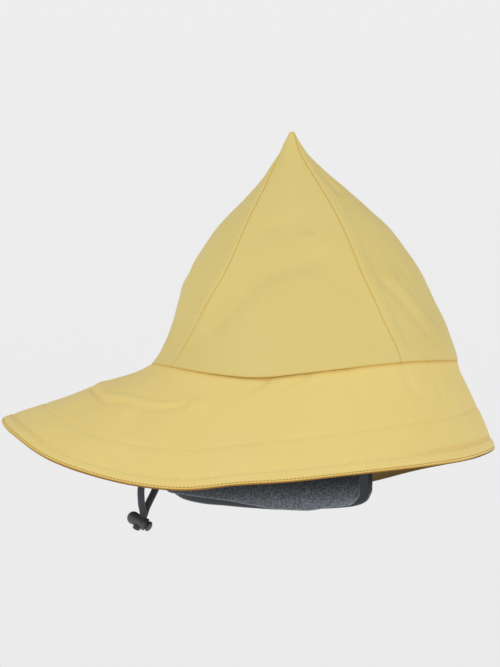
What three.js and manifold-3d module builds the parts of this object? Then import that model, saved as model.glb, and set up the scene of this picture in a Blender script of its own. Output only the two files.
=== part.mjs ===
// Sou'wester rain hat of coated cloth: a pointed crown of four gores, a sloping brim that is long at the back,
// fleece ear flaps and a nape band inside it, and an elastic drawcord with a cord lock at the nape.
// Millimetres, +Z up, the hat's front towards -Y. The origin is the middle of the head opening, at the seam
// between crown and brim. A turn is an angle round the head in degrees: 0 at the back, 90 at the side and
// 180 at the front, negative on the wearer's right, which is -X.
import * as THREE from "three";
import { mergeVertices } from "three/addons/utils/BufferGeometryUtils.js";
import Module from "manifold-3d";

// Sizes of the crown
const HEAD_DEPTH = 193;
const HEAD_WIDTH = 160;
const CROWN_HEIGHT = 143.5;
const APEX_LEAN = 7.5;
const TIP_RADIUS = 2.2;
const CROWN_WALL = 1.6;
const TIP_WALL = 1.1;
const TIP_FROM = 0.9;
const SEAM_DIP = 11.3;
const GAP = 0.3;

// Sizes of the brim
const BRIM_WALL = 2;
const HEM_WALL = 2.8;
const HEM_WIDTH = 8;
const BACK_REACH = 96.5;
const SIDE_REACH = 36;
const FRONT_REACH = 25;
const BACK_DROP = 35;
const SIDE_DROP = 73.2;
const FRONT_DROP = 54.4;
const FACING_WIDTH = 29;
const FACING_WALL = 0.9;

// Sizes of the fleece
const FLEECE = 2.6;
const FLAP_DROP = 92.5;
const FLAP_RISE = 1;
const FLAP_FRONT_TURN = 116;
const FLAP_BACK_TURN = 28;
const NAPE_DROP = 64;
const NAPE_FLARE = 5;
const TUNNEL_HEIGHT = 8;
const TUNNEL_WALL = 6.6;
const TUNNEL_EASE = 1.3;

// Sizes of the drawcord and its lock
const CORD_DIAMETER = 4.5;
const CORD_SIDES = 8;
const CORD_SPACING = 5.2;
const CORD_END_LENGTH = 3.2;
const CORD_EXIT_TURN = 10.6;
const LOCK_TILT = 29;
const BARREL_LENGTH = 12;
const BARREL_RADIUS = 4.15;
const OVAL = 1.5;
const CORD_ALONG_BARREL = 8.8;
const CORD_SEAT = 2.5;
const BORE_RADIUS = 1.6;
const STEM_RADIUS = 1.3;
const STEM_LENGTH = 3;
const BUTTON_RADIUS = 3.4;
const BUTTON_CAP = 3.1;
const BUTTON_TRAVEL = 1.6;

// Crown sections from the base, height 0, to the apex, height 1. depth and width are shares of the base's,
// lean is a share of the apex's lean, and the seams are the turns of the back and front seams.
const CROWN_SECTIONS = [
  { height: 0, depth: 1, width: 1, lean: -0.07, backSeam: 35.5, frontSeam: 131, ridge: 0.03 },
  { height: 0.05, depth: 0.963, width: 0.972, lean: -0.3, backSeam: 36.5, frontSeam: 129.5, ridge: 0.05 },
  { height: 0.18, depth: 0.888, width: 0.9, lean: -0.33, backSeam: 43, frontSeam: 125, ridge: 0.11 },
  { height: 0.27, depth: 0.836, width: 0.84, lean: -0.16, backSeam: 48, frontSeam: 123, ridge: 0.15 },
  { height: 0.37, depth: 0.777, width: 0.765, lean: 0, backSeam: 54, frontSeam: 120.5, ridge: 0.18 },
  { height: 0.5, depth: 0.659, width: 0.645, lean: 0, backSeam: 56, frontSeam: 118.5, ridge: 0.2 },
  { height: 0.6, depth: 0.543, width: 0.53, lean: 0.12, backSeam: 55.5, frontSeam: 118, ridge: 0.21 },
  { height: 0.71, depth: 0.377, width: 0.375, lean: 0.29, backSeam: 54, frontSeam: 118.5, ridge: 0.22 },
  { height: 0.8, depth: 0.243, width: 0.245, lean: 0.49, backSeam: 52, frontSeam: 119, ridge: 0.2 },
  { height: 0.9, depth: 0.113, width: 0.115, lean: 0.77, backSeam: 50, frontSeam: 121, ridge: 0.14 },
  { height: 0.96, depth: 0.058, width: 0.058, lean: 0.95, backSeam: 48, frontSeam: 125, ridge: 0.06 },
];

// How far the seam between crown and brim dips below the origin's level, as a share of the whole dip.
const DIPS = [
  { turn: 0, dip: 0.1 },
  { turn: 30, dip: 0.28 },
  { turn: 60, dip: 0.82 },
  { turn: 76, dip: 1 },
  { turn: 92, dip: 0.8 },
  { turn: 120, dip: 0.32 },
  { turn: 140, dip: 0.08 },
  { turn: 180, dip: -0.05 },
];

// The brim's edge. reach is how far it stands out from the crown's base and drop how far down it hangs, both as
// the share of the way from the side's own value to the back's (turns below 90) or the front's (above 90).
const BRIM_EDGE = [
  { turn: 0, reach: 1, drop: 1 },
  { turn: 15, reach: 0.94, drop: 0.79 },
  { turn: 30, reach: 0.75, drop: 0.34 },
  { turn: 45, reach: 0.45, drop: 0.02 },
  { turn: 60, reach: 0.21, drop: -0.11 },
  { turn: 75, reach: 0.07, drop: -0.04 },
  { turn: 90, reach: 0, drop: 0 },
  { turn: 105, reach: 0.26, drop: 0.16 },
  { turn: 120, reach: 0.53, drop: 0.32 },
  { turn: 135, reach: 0.7, drop: 0.49 },
  { turn: 150, reach: 0.88, drop: 0.66 },
  { turn: 165, reach: 0.97, drop: 0.87 },
  { turn: 180, reach: 1, drop: 1 },
];

// The brim hangs lower than its edge's table says round these turns. drop is a share of the side's drop.
const BRIM_SAGS = [{ turn: 100, across: 19, drop: 0.09 }];

// Soft dents and wrinkles in the crown. across and up are the half widths in degrees of turn and share of height,
// slant is how many degrees the dent runs for the whole height, and depth is in crown walls.
const CROWN_DENTS = [
  { turn: -158, height: 0.22, across: 9, up: 0.08, slant: -60, depth: 0.7 },
  { turn: -92, height: 0.43, across: 22, up: 0.05, slant: 0, depth: 0.55 },
  { turn: -84, height: 0.55, across: 7, up: 0.045, slant: 0, depth: 0.6 },
  { turn: -72, height: 0.2, across: 16, up: 0.05, slant: 30, depth: 0.5 },
  { turn: 100, height: 0.35, across: 18, up: 0.07, slant: 20, depth: 0.6 },
];

// Soft folds across the brim, each along a path of turns and shares of the way down from seam to edge. width is
// the fold's half width as a share of the hem's width, and height is in brim walls.
const BRIM_FOLDS = [
  { path: [[-5, 0.35], [-21, 0.41], [-34, 0.36], [-43, 0.355], [-57, 0.25]], width: 0.55, height: 0.5 },
  { path: [[10, 0.5], [24, 0.42], [42, 0.34]], width: 0.8, height: 0.4 },
  { path: [[-16, 0.2], [16, 0.2]], width: 1.7, height: -0.4 },
  { path: [[-79, 0.02], [-74, 0.1]], width: 0.35, height: -0.3 },
];

// Lower edges of the two ear flaps from front, along 0, to back, along 1. drop is a share of the flap's drop.
const RIGHT_FLAP_EDGE = [
  { along: 0, drop: 0.88 },
  { along: 0.025, drop: 0.94 },
  { along: 0.075, drop: 0.974 },
  { along: 0.16, drop: 0.985 },
  { along: 0.3, drop: 1 },
  { along: 0.45, drop: 0.99 },
  { along: 0.6, drop: 0.965 },
  { along: 0.78, drop: 0.925 },
  { along: 0.93, drop: 0.87 },
  { along: 1, drop: 0.82 },
];
const LEFT_FLAP_EDGE = [
  { along: 0, drop: 0.88 },
  { along: 0.025, drop: 0.945 },
  { along: 0.075, drop: 0.978 },
  { along: 0.16, drop: 0.995 },
  { along: 0.45, drop: 1 },
  { along: 0.62, drop: 0.99 },
  { along: 0.8, drop: 0.965 },
  { along: 0.93, drop: 0.92 },
  { along: 1, drop: 0.85 },
];

// How far the fleece hangs outwards at the bottom, as a share of the flare at the nape.
const FLEECE_FLARE = [
  { turn: 0, flare: 1 },
  { turn: 28, flare: 0.8 },
  { turn: 60, flare: 0.1 },
  { turn: 90, flare: -0.35 },
  { turn: 120, flare: -0.5 },
];

// Routes of the two strands between the nape band and the lock, chosen by hand.
const RIGHT_STRAND = [
  [-13.9, 94.4, -71],
  [-12.9, 98, -75.5],
  [-11.2, 100.6, -80],
  [-8.7, 101.7, -85.2],
  [-6, 101.7, -90],
];
const LEFT_STRAND = [
  [13.6, 92.6, -71.5],
  [12.6, 93.6, -76],
  [11.2, 95.2, -80.4],
  [9, 97, -84.6],
  [6.4, 98.8, -88.8],
  [4.2, 100.2, -92.4],
];
const LOCK_DOME_END = new THREE.Vector3(0, 111.3, -96.2);

// Mesh density
const GORE_COLUMNS = 12;
const GORE_ROWS = 16;
const BRIM_COLUMNS = 72;
const BRIM_ROWS = 11;
const FACING_ROWS = 3;
const FLAP_COLUMNS = 22;
const FLAP_ROWS = 9;
const NAPE_COLUMNS = 12;
const NAPE_ROWS = 8;
const LATHE_SEGMENTS = 20;
const CROWD_TO_APEX = 1.15;
const CROWD_TO_ENDS = 0.35;

const { abs, cos, exp, max, min, PI, sin } = Math;
const toRadians = THREE.MathUtils.degToRad;
const blend = THREE.MathUtils.lerp;
const smooth = THREE.MathUtils.smoothstep;

// A smooth curve through one column of a table. Ends are level where the table meets its own mirror image.
function columnOf(rows, at, column, levelEnds = false) {
  const x = rows.map((row) => row[at]);
  const y = rows.map((row) => row[column]);
  const last = rows.length - 1;
  const slope = x.map((_, i) => {
    if (levelEnds && (i === 0 || i === last)) return 0;
    const before = max(i - 1, 0);
    const after = min(i + 1, last);
    return (y[after] - y[before]) / (x[after] - x[before]);
  });
  return (value) => {
    const v = min(max(value, x[0]), x[last]);
    let i = 0;
    while (i < last - 1 && v > x[i + 1]) i += 1;
    const span = x[i + 1] - x[i];
    const t = (v - x[i]) / span;
    const ends = y[i] * (1 + 2 * t) * (1 - t) ** 2 + y[i + 1] * t * t * (3 - 2 * t);
    const slopes = span * (slope[i] * t * (1 - t) ** 2 - slope[i + 1] * t * t * (1 - t));
    return ends + slopes;
  };
}

// Crown surface
const TIP_SHARE = TIP_RADIUS / (HEAD_DEPTH / 2);
const sections = [
  ...CROWN_SECTIONS,
  { height: 1, depth: TIP_SHARE, width: TIP_SHARE, lean: 1, backSeam: 45, frontSeam: 135, ridge: 0 },
];
const crownDepth = columnOf(sections, "height", "depth");
const crownWidth = columnOf(sections, "height", "width");
const crownLean = columnOf(sections, "height", "lean");
const backSeam = columnOf(sections, "height", "backSeam");
const frontSeam = columnOf(sections, "height", "frontSeam");
const ridge = columnOf(sections, "height", "ridge");
const dip = columnOf(DIPS, "turn", "dip", true);

// How far a turn is from the back, either way round.
const fromBack = (turn) => abs(THREE.MathUtils.euclideanModulo(turn + 180, 360) - 180);
const seamLevel = (turn) => -SEAM_DIP * dip(fromBack(turn));

// A point of the crown without its ridges and dents.
function plainCrown(turn, height) {
  const a = toRadians(turn);
  return new THREE.Vector3(
    (HEAD_WIDTH / 2) * crownWidth(height) * sin(a),
    (HEAD_DEPTH / 2) * crownDepth(height) * cos(a) + APEX_LEAN * crownLean(height),
    CROWN_HEIGHT * height + seamLevel(turn) * (1 - height) ** 2,
  );
}

// The outward normal of any surface that is a function of two values.
function normalOf(surface, u, v, stepU, stepV) {
  const alongU = surface(u + stepU, v).sub(surface(u - stepU, v));
  const alongV = surface(u, v + stepV).sub(surface(u, v - stepV));
  return alongU.cross(alongV).normalize();
}
const TURN_STEP = 0.5;
const SHARE_STEP = 0.01;
const LEVEL_SHARE = 0.08;

// The crown's own normal, level at the base so that the base's rim is flat.
function crownOutwards(turn, height) {
  const inside = min(max(height, SHARE_STEP), 1 - SHARE_STEP);
  const out = normalOf(plainCrown, turn, inside, TURN_STEP, SHARE_STEP).negate();
  out.z *= smooth(height, 0, LEVEL_SHARE);
  return out.normalize();
}

// Each gore bulges less than an oval would, so its two seams stand out as ridges.
function ridgeShare(turn, height) {
  const t = fromBack(turn);
  const back = backSeam(height);
  const front = frontSeam(height);
  let fromMiddle = (180 - t) / (180 - front);
  if (t < back) fromMiddle = t / back;
  else if (t < front) fromMiddle = abs(2 * t - back - front) / (front - back);
  return 1 + ridge(height) * (1 / cos((PI / 4) * fromMiddle) - 1);
}

function crownDent(turn, height) {
  return CROWN_DENTS.reduce((sum, d) => {
    const across = fromBack(turn - d.turn - d.slant * (height - d.height)) / d.across;
    const up = (height - d.height) / d.up;
    return sum + d.depth * CROWN_WALL * exp(-across * across - up * up);
  }, 0);
}

// The crown's surface, or one that lies some depth inside it.
function crownPoint(turn, height, depth = 0) {
  const point = plainCrown(turn, height);
  const middle = APEX_LEAN * crownLean(height);
  const proud = ridgeShare(turn, height);
  point.x *= proud;
  point.y = middle + (point.y - middle) * proud;
  return point.addScaledVector(crownOutwards(turn, height), -depth - crownDent(turn, height));
}

// Brim surface: straight lines from the crown's base to the edge, with folds laid over them
const brimRows = BRIM_EDGE.map(({ turn, reach, drop }) => {
  const [endReach, endDrop] = turn < 90 ? [BACK_REACH, BACK_DROP] : [FRONT_REACH, FRONT_DROP];
  return { turn, reach: blend(SIDE_REACH, endReach, reach), drop: blend(SIDE_DROP, endDrop, drop) };
});
const brimReach = columnOf(brimRows, "turn", "reach", true);
const brimDrop = columnOf(brimRows, "turn", "drop", true);

function brimTop(turn) {
  const top = crownPoint(turn, 0, CROWN_WALL);
  top.z = seamLevel(turn) - GAP;
  return top;
}

function brimSag(turn) {
  return BRIM_SAGS.reduce((sum, s) => {
    const across = fromBack(turn - s.turn) / s.across;
    return sum + s.drop * SIDE_DROP * exp(-across * across);
  }, 0);
}

function brimEdge(turn) {
  const a = toRadians(turn);
  const outwards = new THREE.Vector3(sin(a) / HEAD_WIDTH, cos(a) / HEAD_DEPTH, 0).normalize();
  const edge = brimTop(turn).addScaledVector(outwards, brimReach(fromBack(turn)));
  edge.z = -brimDrop(fromBack(turn)) - brimSag(turn);
  return edge;
}

function plainBrim(turn, down) {
  return brimTop(turn).lerp(brimEdge(turn), down);
}

const brimLength = (turn) => brimTop(turn).distanceTo(brimEdge(turn));
const brimOutwards = (turn, down) => normalOf(plainBrim, turn, down, TURN_STEP, SHARE_STEP);

// How far a point of the brim stands out because of the folds near it.
const foldLines = BRIM_FOLDS.map((f) => {
  const places = f.path.map(([turn, down]) => plainBrim(turn, down));
  return places.slice(1).map((place, i) => new THREE.Line3(places[i], place));
});
function foldHeight(turn, down) {
  const place = plainBrim(turn, down);
  return BRIM_FOLDS.reduce((sum, f, k) => {
    const distances = foldLines[k].map((line) =>
      line.closestPointToPoint(place, true, new THREE.Vector3()).distanceTo(place),
    );
    const off = min(...distances) / (f.width * HEM_WIDTH);
    return sum + f.height * BRIM_WALL * exp(-off * off);
  }, 0);
}

function brimPoint(turn, down, depth = 0) {
  const out = brimOutwards(turn, down);
  return plainBrim(turn, down).addScaledVector(out, foldHeight(turn, down) - depth);
}

// The wall is thicker along the hem, where the cloth is turned in and sewn down.
const HEM_FLAT = 0.8 * HEM_WIDTH;
function hemDepth(turn, down) {
  const fromEdge = (1 - down) * brimLength(turn);
  return blend(HEM_WALL, BRIM_WALL, smooth(fromEdge, HEM_FLAT, HEM_WIDTH));
}

// Even rows down to the hem, then one row for the hem's step and one for the hem itself.
function brimRow(turn, row) {
  const even = BRIM_ROWS - 2;
  if (row <= even) return (row / even) * (1 - HEM_WIDTH / brimLength(turn));
  return row < BRIM_ROWS ? 1 - HEM_FLAT / brimLength(turn) : 1;
}

// Fleece surface: it hangs just inside the brim's top
const FLEECE_INSET = CROWN_WALL + BRIM_WALL + GAP;
const fleeceFlare = columnOf(FLEECE_FLARE, "turn", "flare");

function fleecePoint(turn, z, depth) {
  const a = toRadians(turn);
  const hang = max(0, -z / FLAP_DROP);
  const out = NAPE_FLARE * fleeceFlare(fromBack(turn)) * hang * hang - FLEECE_INSET - depth;
  return new THREE.Vector3(
    (HEAD_WIDTH / 2 + out) * sin(a),
    (HEAD_DEPTH / 2 + out) * cos(a),
    z,
  );
}

// Solids

// Turns a closed mesh's faces outwards if they point in, and gives it flat normals for its renderer.
function facingOut(geometry) {
  geometry.deleteAttribute("normal");
  geometry.deleteAttribute("uv");
  const merged = mergeVertices(geometry, 1e-3);
  const place = merged.getAttribute("position");
  const index = merged.index.array;
  const corner = [new THREE.Vector3(), new THREE.Vector3(), new THREE.Vector3()];
  let volume = 0;
  for (let i = 0; i < index.length; i += 3) {
    corner.forEach((c, k) => c.fromBufferAttribute(place, index[i + k]));
    volume += corner[0].dot(corner[1].cross(corner[2]));
  }
  if (volume < 0) index.reverse();
  merged.computeVertexNormals();
  return merged;
}

// A wall between two surfaces that are functions of along and across, each from 0 to 1. A ring joins up
// with itself along its length.
function wall(outer, inner, columns, rows, ring = false) {
  const positions = [];
  const index = [];
  const stops = ring ? columns : columns + 1;
  for (const surface of [outer, inner]) {
    for (let j = 0; j <= rows; j += 1) {
      for (let i = 0; i < stops; i += 1) positions.push(...surface(i / columns, j / rows));
    }
  }
  const at = (side, i, j) => side * stops * (rows + 1) + j * stops + (i % stops);
  const quad = (a, b, c, d) => index.push(a, b, c, a, c, d);
  for (let i = 0; i < columns; i += 1) {
    for (let j = 0; j < rows; j += 1) {
      quad(at(0, i, j), at(0, i + 1, j), at(0, i + 1, j + 1), at(0, i, j + 1));
      quad(at(1, i, j), at(1, i, j + 1), at(1, i + 1, j + 1), at(1, i + 1, j));
    }
    quad(at(0, i, 0), at(1, i, 0), at(1, i + 1, 0), at(0, i + 1, 0));
    quad(at(0, i, rows), at(0, i + 1, rows), at(1, i + 1, rows), at(1, i, rows));
  }
  if (!ring) {
    for (let j = 0; j < rows; j += 1) {
      quad(at(0, 0, j), at(0, 0, j + 1), at(1, 0, j + 1), at(1, 0, j));
      quad(at(0, columns, j), at(1, columns, j), at(1, columns, j + 1), at(0, columns, j + 1));
    }
  }
  const geometry = new THREE.BufferGeometry();
  geometry.setAttribute("position", new THREE.Float32BufferAttribute(positions, 3));
  geometry.setIndex(index);
  return facingOut(geometry);
}

const rainCloth = { color: 0xd9c67f, roughness: 0.72, metalness: 0 };
const fleece = { color: 0x55585c, roughness: 0.95, metalness: 0 };
const elastic = { color: 0x3a3b3f, roughness: 0.85, metalness: 0 };
const plastic = { color: 0x46464a, roughness: 0.45, metalness: 0 };

const hat = new THREE.Group();

function add(name, geometry, look, parent = hat) {
  const mesh = new THREE.Mesh(geometry, new THREE.MeshStandardMaterial(look));
  mesh.name = name;
  parent.add(mesh);
  return mesh;
}

// Crown gores: each lies between two seams, with half the gap left free at each
const wallAt = (height) => blend(CROWN_WALL, TIP_WALL, smooth(height, TIP_FROM, 1));

function goreGeometry(fromSeam, toSeam) {
  const surface = (depthShare) => (across, up) => {
    const height = 1 - (1 - up) ** CROWD_TO_APEX;
    const depth = depthShare * wallAt(height);
    const start = fromSeam(height);
    const end = toSeam(height);
    const edge = crownPoint(across < 0.5 ? start : end, height, depth);
    edge.y -= APEX_LEAN * crownLean(height);
    const free = THREE.MathUtils.radToDeg(GAP / 2 / Math.hypot(edge.x, edge.y));
    return crownPoint(blend(start + free, end - free, across), height, depth);
  };
  return wall(surface(0), surface(1), GORE_COLUMNS, GORE_ROWS);
}

add("crown_front_gore", goreGeometry(frontSeam, (h) => 360 - frontSeam(h)), rainCloth);
add("crown_back_gore", goreGeometry((h) => -backSeam(h), backSeam), rainCloth);
add("crown_left_gore", goreGeometry(backSeam, frontSeam), rainCloth);
add("crown_right_gore", goreGeometry((h) => -frontSeam(h), (h) => -backSeam(h)), rainCloth);

// Brim and its facing
const brimTurn = (along) => 360 * along - 180;
const brimSurface = (depthAt) => (along, rowShare) => {
  const turn = brimTurn(along);
  const down = brimRow(turn, Math.round(rowShare * BRIM_ROWS));
  return brimPoint(turn, down, depthAt(turn, down));
};
add("brim", wall(brimSurface(() => 0), brimSurface(hemDepth), BRIM_COLUMNS, BRIM_ROWS, true), rainCloth);

const facingSurface = (depth) => (along, down) => {
  const turn = brimTurn(along);
  const fromEdge = blend(FACING_WIDTH, HEM_WIDTH + GAP, down);
  return brimPoint(turn, 1 - fromEdge / brimLength(turn), depth);
};
add(
  "brim_facing",
  wall(
    facingSurface(BRIM_WALL + GAP),
    facingSurface(BRIM_WALL + GAP + FACING_WALL),
    BRIM_COLUMNS,
    FACING_ROWS,
    true,
  ),
  rainCloth,
);

// Ear flaps, one each side, and the nape band between them
function flapGeometry(side, edgeTable) {
  const drop = columnOf(edgeTable, "along", "drop");
  const surface = (depth) => (along, down) => {
    const share = blend(along, smooth(along, 0, 1), CROWD_TO_ENDS);
    const turn = blend(FLAP_FRONT_TURN, FLAP_BACK_TURN, share);
    const z = blend(seamLevel(turn) + FLAP_RISE, -FLAP_DROP * drop(share), down);
    return fleecePoint(side * turn, z, depth);
  };
  return wall(surface(0), surface(FLEECE), FLAP_COLUMNS, FLAP_ROWS);
}
add("ear_flap_right", flapGeometry(-1, RIGHT_FLAP_EDGE), fleece);
add("ear_flap_left", flapGeometry(1, LEFT_FLAP_EDGE), fleece);

const napeTurn = FLAP_BACK_TURN - THREE.MathUtils.radToDeg(GAP / (HEAD_WIDTH / 2));
const napeSurface = (side) => (along, down) => {
  const turn = blend(-napeTurn, napeTurn, along);
  const z = blend(seamLevel(turn) + FLAP_RISE, -NAPE_DROP, down);
  const thick = blend(TUNNEL_WALL, FLEECE, smooth(z + NAPE_DROP, TUNNEL_HEIGHT, TUNNEL_HEIGHT * TUNNEL_EASE));
  return fleecePoint(turn, z, (FLEECE - side * thick) / 2);
};
add("nape_band", wall(napeSurface(1), napeSurface(-1), NAPE_COLUMNS, NAPE_ROWS), fleece);

// Cord lock, made along its own Y axis from the dome's end to the button, with its own Z pointing down
const lock = new THREE.Group();
lock.position.copy(LOCK_DOME_END);
lock.rotation.x = PI + toRadians(LOCK_TILT);
lock.updateMatrix();
hat.add(lock);

// A turned shape, wider across the hat than it is high.
function turned(profile) {
  const points = profile.map(([along, radius]) => new THREE.Vector2(radius, along));
  return facingOut(new THREE.LatheGeometry(points, LATHE_SEGMENTS).scale(OVAL, 1, 1));
}

const wasm = await Module();
wasm.setup();
const solidOf = (geometry) =>
  new wasm.Manifold(
    new wasm.Mesh({
      numProp: 3,
      vertProperties: geometry.getAttribute("position").array,
      triVerts: new Uint32Array(geometry.index.array),
    }),
  );
function geometryOf(solid) {
  const mesh = solid.getMesh();
  const geometry = new THREE.BufferGeometry();
  geometry.setAttribute("position", new THREE.Float32BufferAttribute(mesh.vertProperties, 3));
  geometry.setIndex([...mesh.triVerts]);
  return facingOut(geometry);
}

const boreFloor = BARREL_LENGTH - STEM_LENGTH - BUTTON_TRAVEL - GAP;
const barrelOuter = [
  [0, 0],
  [0.06 * BARREL_LENGTH, 0.55 * BARREL_RADIUS],
  [0.15 * BARREL_LENGTH, 0.84 * BARREL_RADIUS],
  [0.26 * BARREL_LENGTH, 0.98 * BARREL_RADIUS],
  [0.37 * BARREL_LENGTH, BARREL_RADIUS],
  [0.52 * BARREL_LENGTH, 0.95 * BARREL_RADIUS],
  [0.94 * BARREL_LENGTH, 0.95 * BARREL_RADIUS],
  [BARREL_LENGTH, 0.86 * BARREL_RADIUS],
];
const barrelBody = turned([
  ...barrelOuter,
  [BARREL_LENGTH, BORE_RADIUS],
  [boreFloor, BORE_RADIUS],
  [boreFloor, 0],
]);

// The slots, above and below, that the two strands sit in side by side.
const slotRadius = CORD_DIAMETER / 2 + GAP;
const slotOutline = new THREE.Shape()
  .absarc(CORD_SPACING / 2, 0, slotRadius, -PI / 2, PI / 2)
  .absarc(-CORD_SPACING / 2, 0, slotRadius, PI / 2, (3 * PI) / 2);
const slotGeometry = (level) =>
  new THREE.ExtrudeGeometry(slotOutline, { depth: BARREL_RADIUS, bevelEnabled: false, curveSegments: 8 })
    .translate(0, CORD_ALONG_BARREL, level);
const belowSlot = solidOf(facingOut(slotGeometry(CORD_SEAT)));
const aboveSlot = solidOf(facingOut(slotGeometry(-CORD_SEAT - BARREL_RADIUS)));
add("cord_lock_barrel", geometryOf(solidOf(barrelBody).subtract(aboveSlot).subtract(belowSlot)), plastic, lock);

const capStart = BARREL_LENGTH + BUTTON_TRAVEL + GAP;
const capEnd = capStart + BUTTON_CAP;
const button = turned([
  [BARREL_LENGTH - STEM_LENGTH, 0],
  [BARREL_LENGTH - STEM_LENGTH, STEM_RADIUS],
  [capStart, STEM_RADIUS],
  [capStart, 0.86 * BUTTON_RADIUS],
  [capStart + 0.2 * BUTTON_CAP, BUTTON_RADIUS],
  [capStart + 0.55 * BUTTON_CAP, 0.95 * BUTTON_RADIUS],
  [capStart + 0.85 * BUTTON_CAP, 0.66 * BUTTON_RADIUS],
  [capEnd, 0],
]);
add("cord_lock_button", button, plastic, lock);

// Drawcord strands, from the tunnel's lower edge to the slot above the lock, and their ends below it
function tube(points) {
  const radius = CORD_DIAMETER / 2;
  const corners = Array.from({ length: CORD_SIDES }, (_, i) => {
    const a = (2 * PI * i) / CORD_SIDES;
    return new THREE.Vector2(radius * cos(a), radius * sin(a));
  });
  const path = new THREE.CatmullRomCurve3(points);
  const steps = max(2, Math.round(path.getLength() / CORD_DIAMETER));
  const geometry = new THREE.ExtrudeGeometry(new THREE.Shape(corners), {
    steps,
    extrudePath: path,
    bevelEnabled: false,
  });
  return facingOut(geometry);
}

const lockPlace = (side, height) =>
  new THREE.Vector3((side * CORD_SPACING) / 2, CORD_ALONG_BARREL, -height).applyMatrix4(lock.matrix);

function strandPoints(side, route) {
  const start = fleecePoint(side * CORD_EXIT_TURN, -NAPE_DROP, FLEECE / 2);
  start.z -= GAP;
  const below = start.clone();
  below.z -= CORD_DIAMETER / 2;
  const seat = CORD_SEAT + GAP;
  const middle = route.map((place) => new THREE.Vector3(...place));
  return [start, below, ...middle, lockPlace(side, seat + CORD_DIAMETER / 2), lockPlace(side, seat)];
}

function endPoints(side) {
  const seat = CORD_SEAT + GAP;
  return [lockPlace(side, -seat), lockPlace(side, -seat - CORD_END_LENGTH)];
}
add("drawcord_right", tube(strandPoints(-1, RIGHT_STRAND)), elastic);
add("drawcord_left", tube(strandPoints(1, LEFT_STRAND)), elastic);
add("drawcord_end_right", tube(endPoints(-1)), elastic);
add("drawcord_end_left", tube(endPoints(1)), elastic);

export default hat;
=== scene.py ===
# %% [markdown]
# # A sou'wester rain hat
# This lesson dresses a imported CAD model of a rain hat: four gores of coated cloth drawn up to a point, a
# sloping brim that is long at the back, fleece ear flaps and a nape band inside it, and an elastic drawcord
# with a cord lock. The CAD gives each piece its place and its size. Here each one gets the curved cloth,
# seams, stitches and finish of the real thing. Everything is in metres with +Z up, the hat's front towards
# -Y and the wearer's right towards -X.

# %% Load the frame
import math

import bmesh
import bpy
import numpy as np
from mathutils import Matrix, Vector, noise


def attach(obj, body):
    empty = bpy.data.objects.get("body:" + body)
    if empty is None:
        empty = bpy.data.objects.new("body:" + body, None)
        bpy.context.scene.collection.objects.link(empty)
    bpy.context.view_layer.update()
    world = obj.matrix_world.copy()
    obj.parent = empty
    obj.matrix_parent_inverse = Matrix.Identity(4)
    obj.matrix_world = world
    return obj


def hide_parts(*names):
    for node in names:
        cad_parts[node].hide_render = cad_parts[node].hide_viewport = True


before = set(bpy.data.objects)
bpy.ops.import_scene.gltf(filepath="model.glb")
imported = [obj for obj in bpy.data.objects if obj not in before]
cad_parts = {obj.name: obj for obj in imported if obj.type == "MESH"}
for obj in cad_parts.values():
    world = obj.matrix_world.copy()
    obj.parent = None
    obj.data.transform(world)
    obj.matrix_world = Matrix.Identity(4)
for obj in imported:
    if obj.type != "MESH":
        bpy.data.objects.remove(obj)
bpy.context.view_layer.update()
MM = 0.001

# %% [markdown]
# ## Camera
# The photograph looks at the wearer's right side, a touch from the front and from just below the rim. A
# long lens far away keeps the two sides of the rim nearly on top of each other, as they are in the
# photograph.

# %% Camera
AZIMUTH = math.radians(-85)
ELEVATION = math.radians(-1.6)
CAMERA_DISTANCE = 2.6
SENSOR_WIDTH = 36
PICTURE_ROWS = 667
MM_PER_ROW = 0.63
PICTURE_HEIGHT = PICTURE_ROWS * MM_PER_ROW * MM
TARGET = Vector((0, 0.034, 0.018))

camera_data = bpy.data.cameras.new("camera")
camera_data.sensor_width = SENSOR_WIDTH
camera_data.lens = SENSOR_WIDTH * CAMERA_DISTANCE / PICTURE_HEIGHT
camera_data.clip_start = 0.1
camera_data.clip_end = 60
camera = bpy.data.objects.new("camera", camera_data)
bpy.context.scene.collection.objects.link(camera)
bpy.context.scene.camera = camera
away = Vector((
    math.sin(AZIMUTH) * math.cos(ELEVATION), -math.cos(AZIMUTH) * math.cos(ELEVATION), math.sin(ELEVATION)))
camera.location = TARGET + away * CAMERA_DISTANCE
camera.rotation_euler = away.to_track_quat("Z", "Y").to_euler()
print("lens", round(camera_data.lens, 1), "camera at", [round(c, 3) for c in camera.location])

# %% [markdown]
# ## Tables and smooth curves
# A hat maker works from a few measured sections and lets the cloth run smoothly between them. A table holds
# such sections, one column to a measure, and a cubic curve goes through each column. Tables of the same
# kind shape the CAD model. These differ from them only where the photograph shows a form more finely, by a
# few millimetres at most.

# %% Tables and smooth curves
def table(names, rows):
    """Columns of numbers, by name."""
    return dict(zip(names.split(), np.array(rows, float).T))


def column_of(columns, at, name, level_ends=False):
    """A smooth curve through one column of a table, level at its ends where it meets its mirror image."""
    x, y = columns[at], columns[name]
    last = len(x) - 1
    before = np.maximum(np.arange(last + 1) - 1, 0)
    after = np.minimum(np.arange(last + 1) + 1, last)
    slope = (y[after] - y[before]) / (x[after] - x[before])
    if level_ends:
        slope[[0, last]] = 0

    def value(v):
        v = np.clip(v, x[0], x[last])
        i = np.clip(np.searchsorted(x, v) - 1, 0, last - 1)
        span = x[i + 1] - x[i]
        t = (v - x[i]) / span
        ends = y[i] * (1 + 2 * t) * (1 - t) ** 2 + y[i + 1] * t * t * (3 - 2 * t)
        return ends + span * (slope[i] * t * (1 - t) ** 2 - slope[i + 1] * t * t * (1 - t))

    return value


def smooth(v, low, high):
    """0 below low, 1 above high, and an even curve between them."""
    t = np.clip((v - low) / (high - low), 0, 1)
    return t * t * (3 - 2 * t)


def blend(a, b, t):
    return a + (b - a) * t


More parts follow.
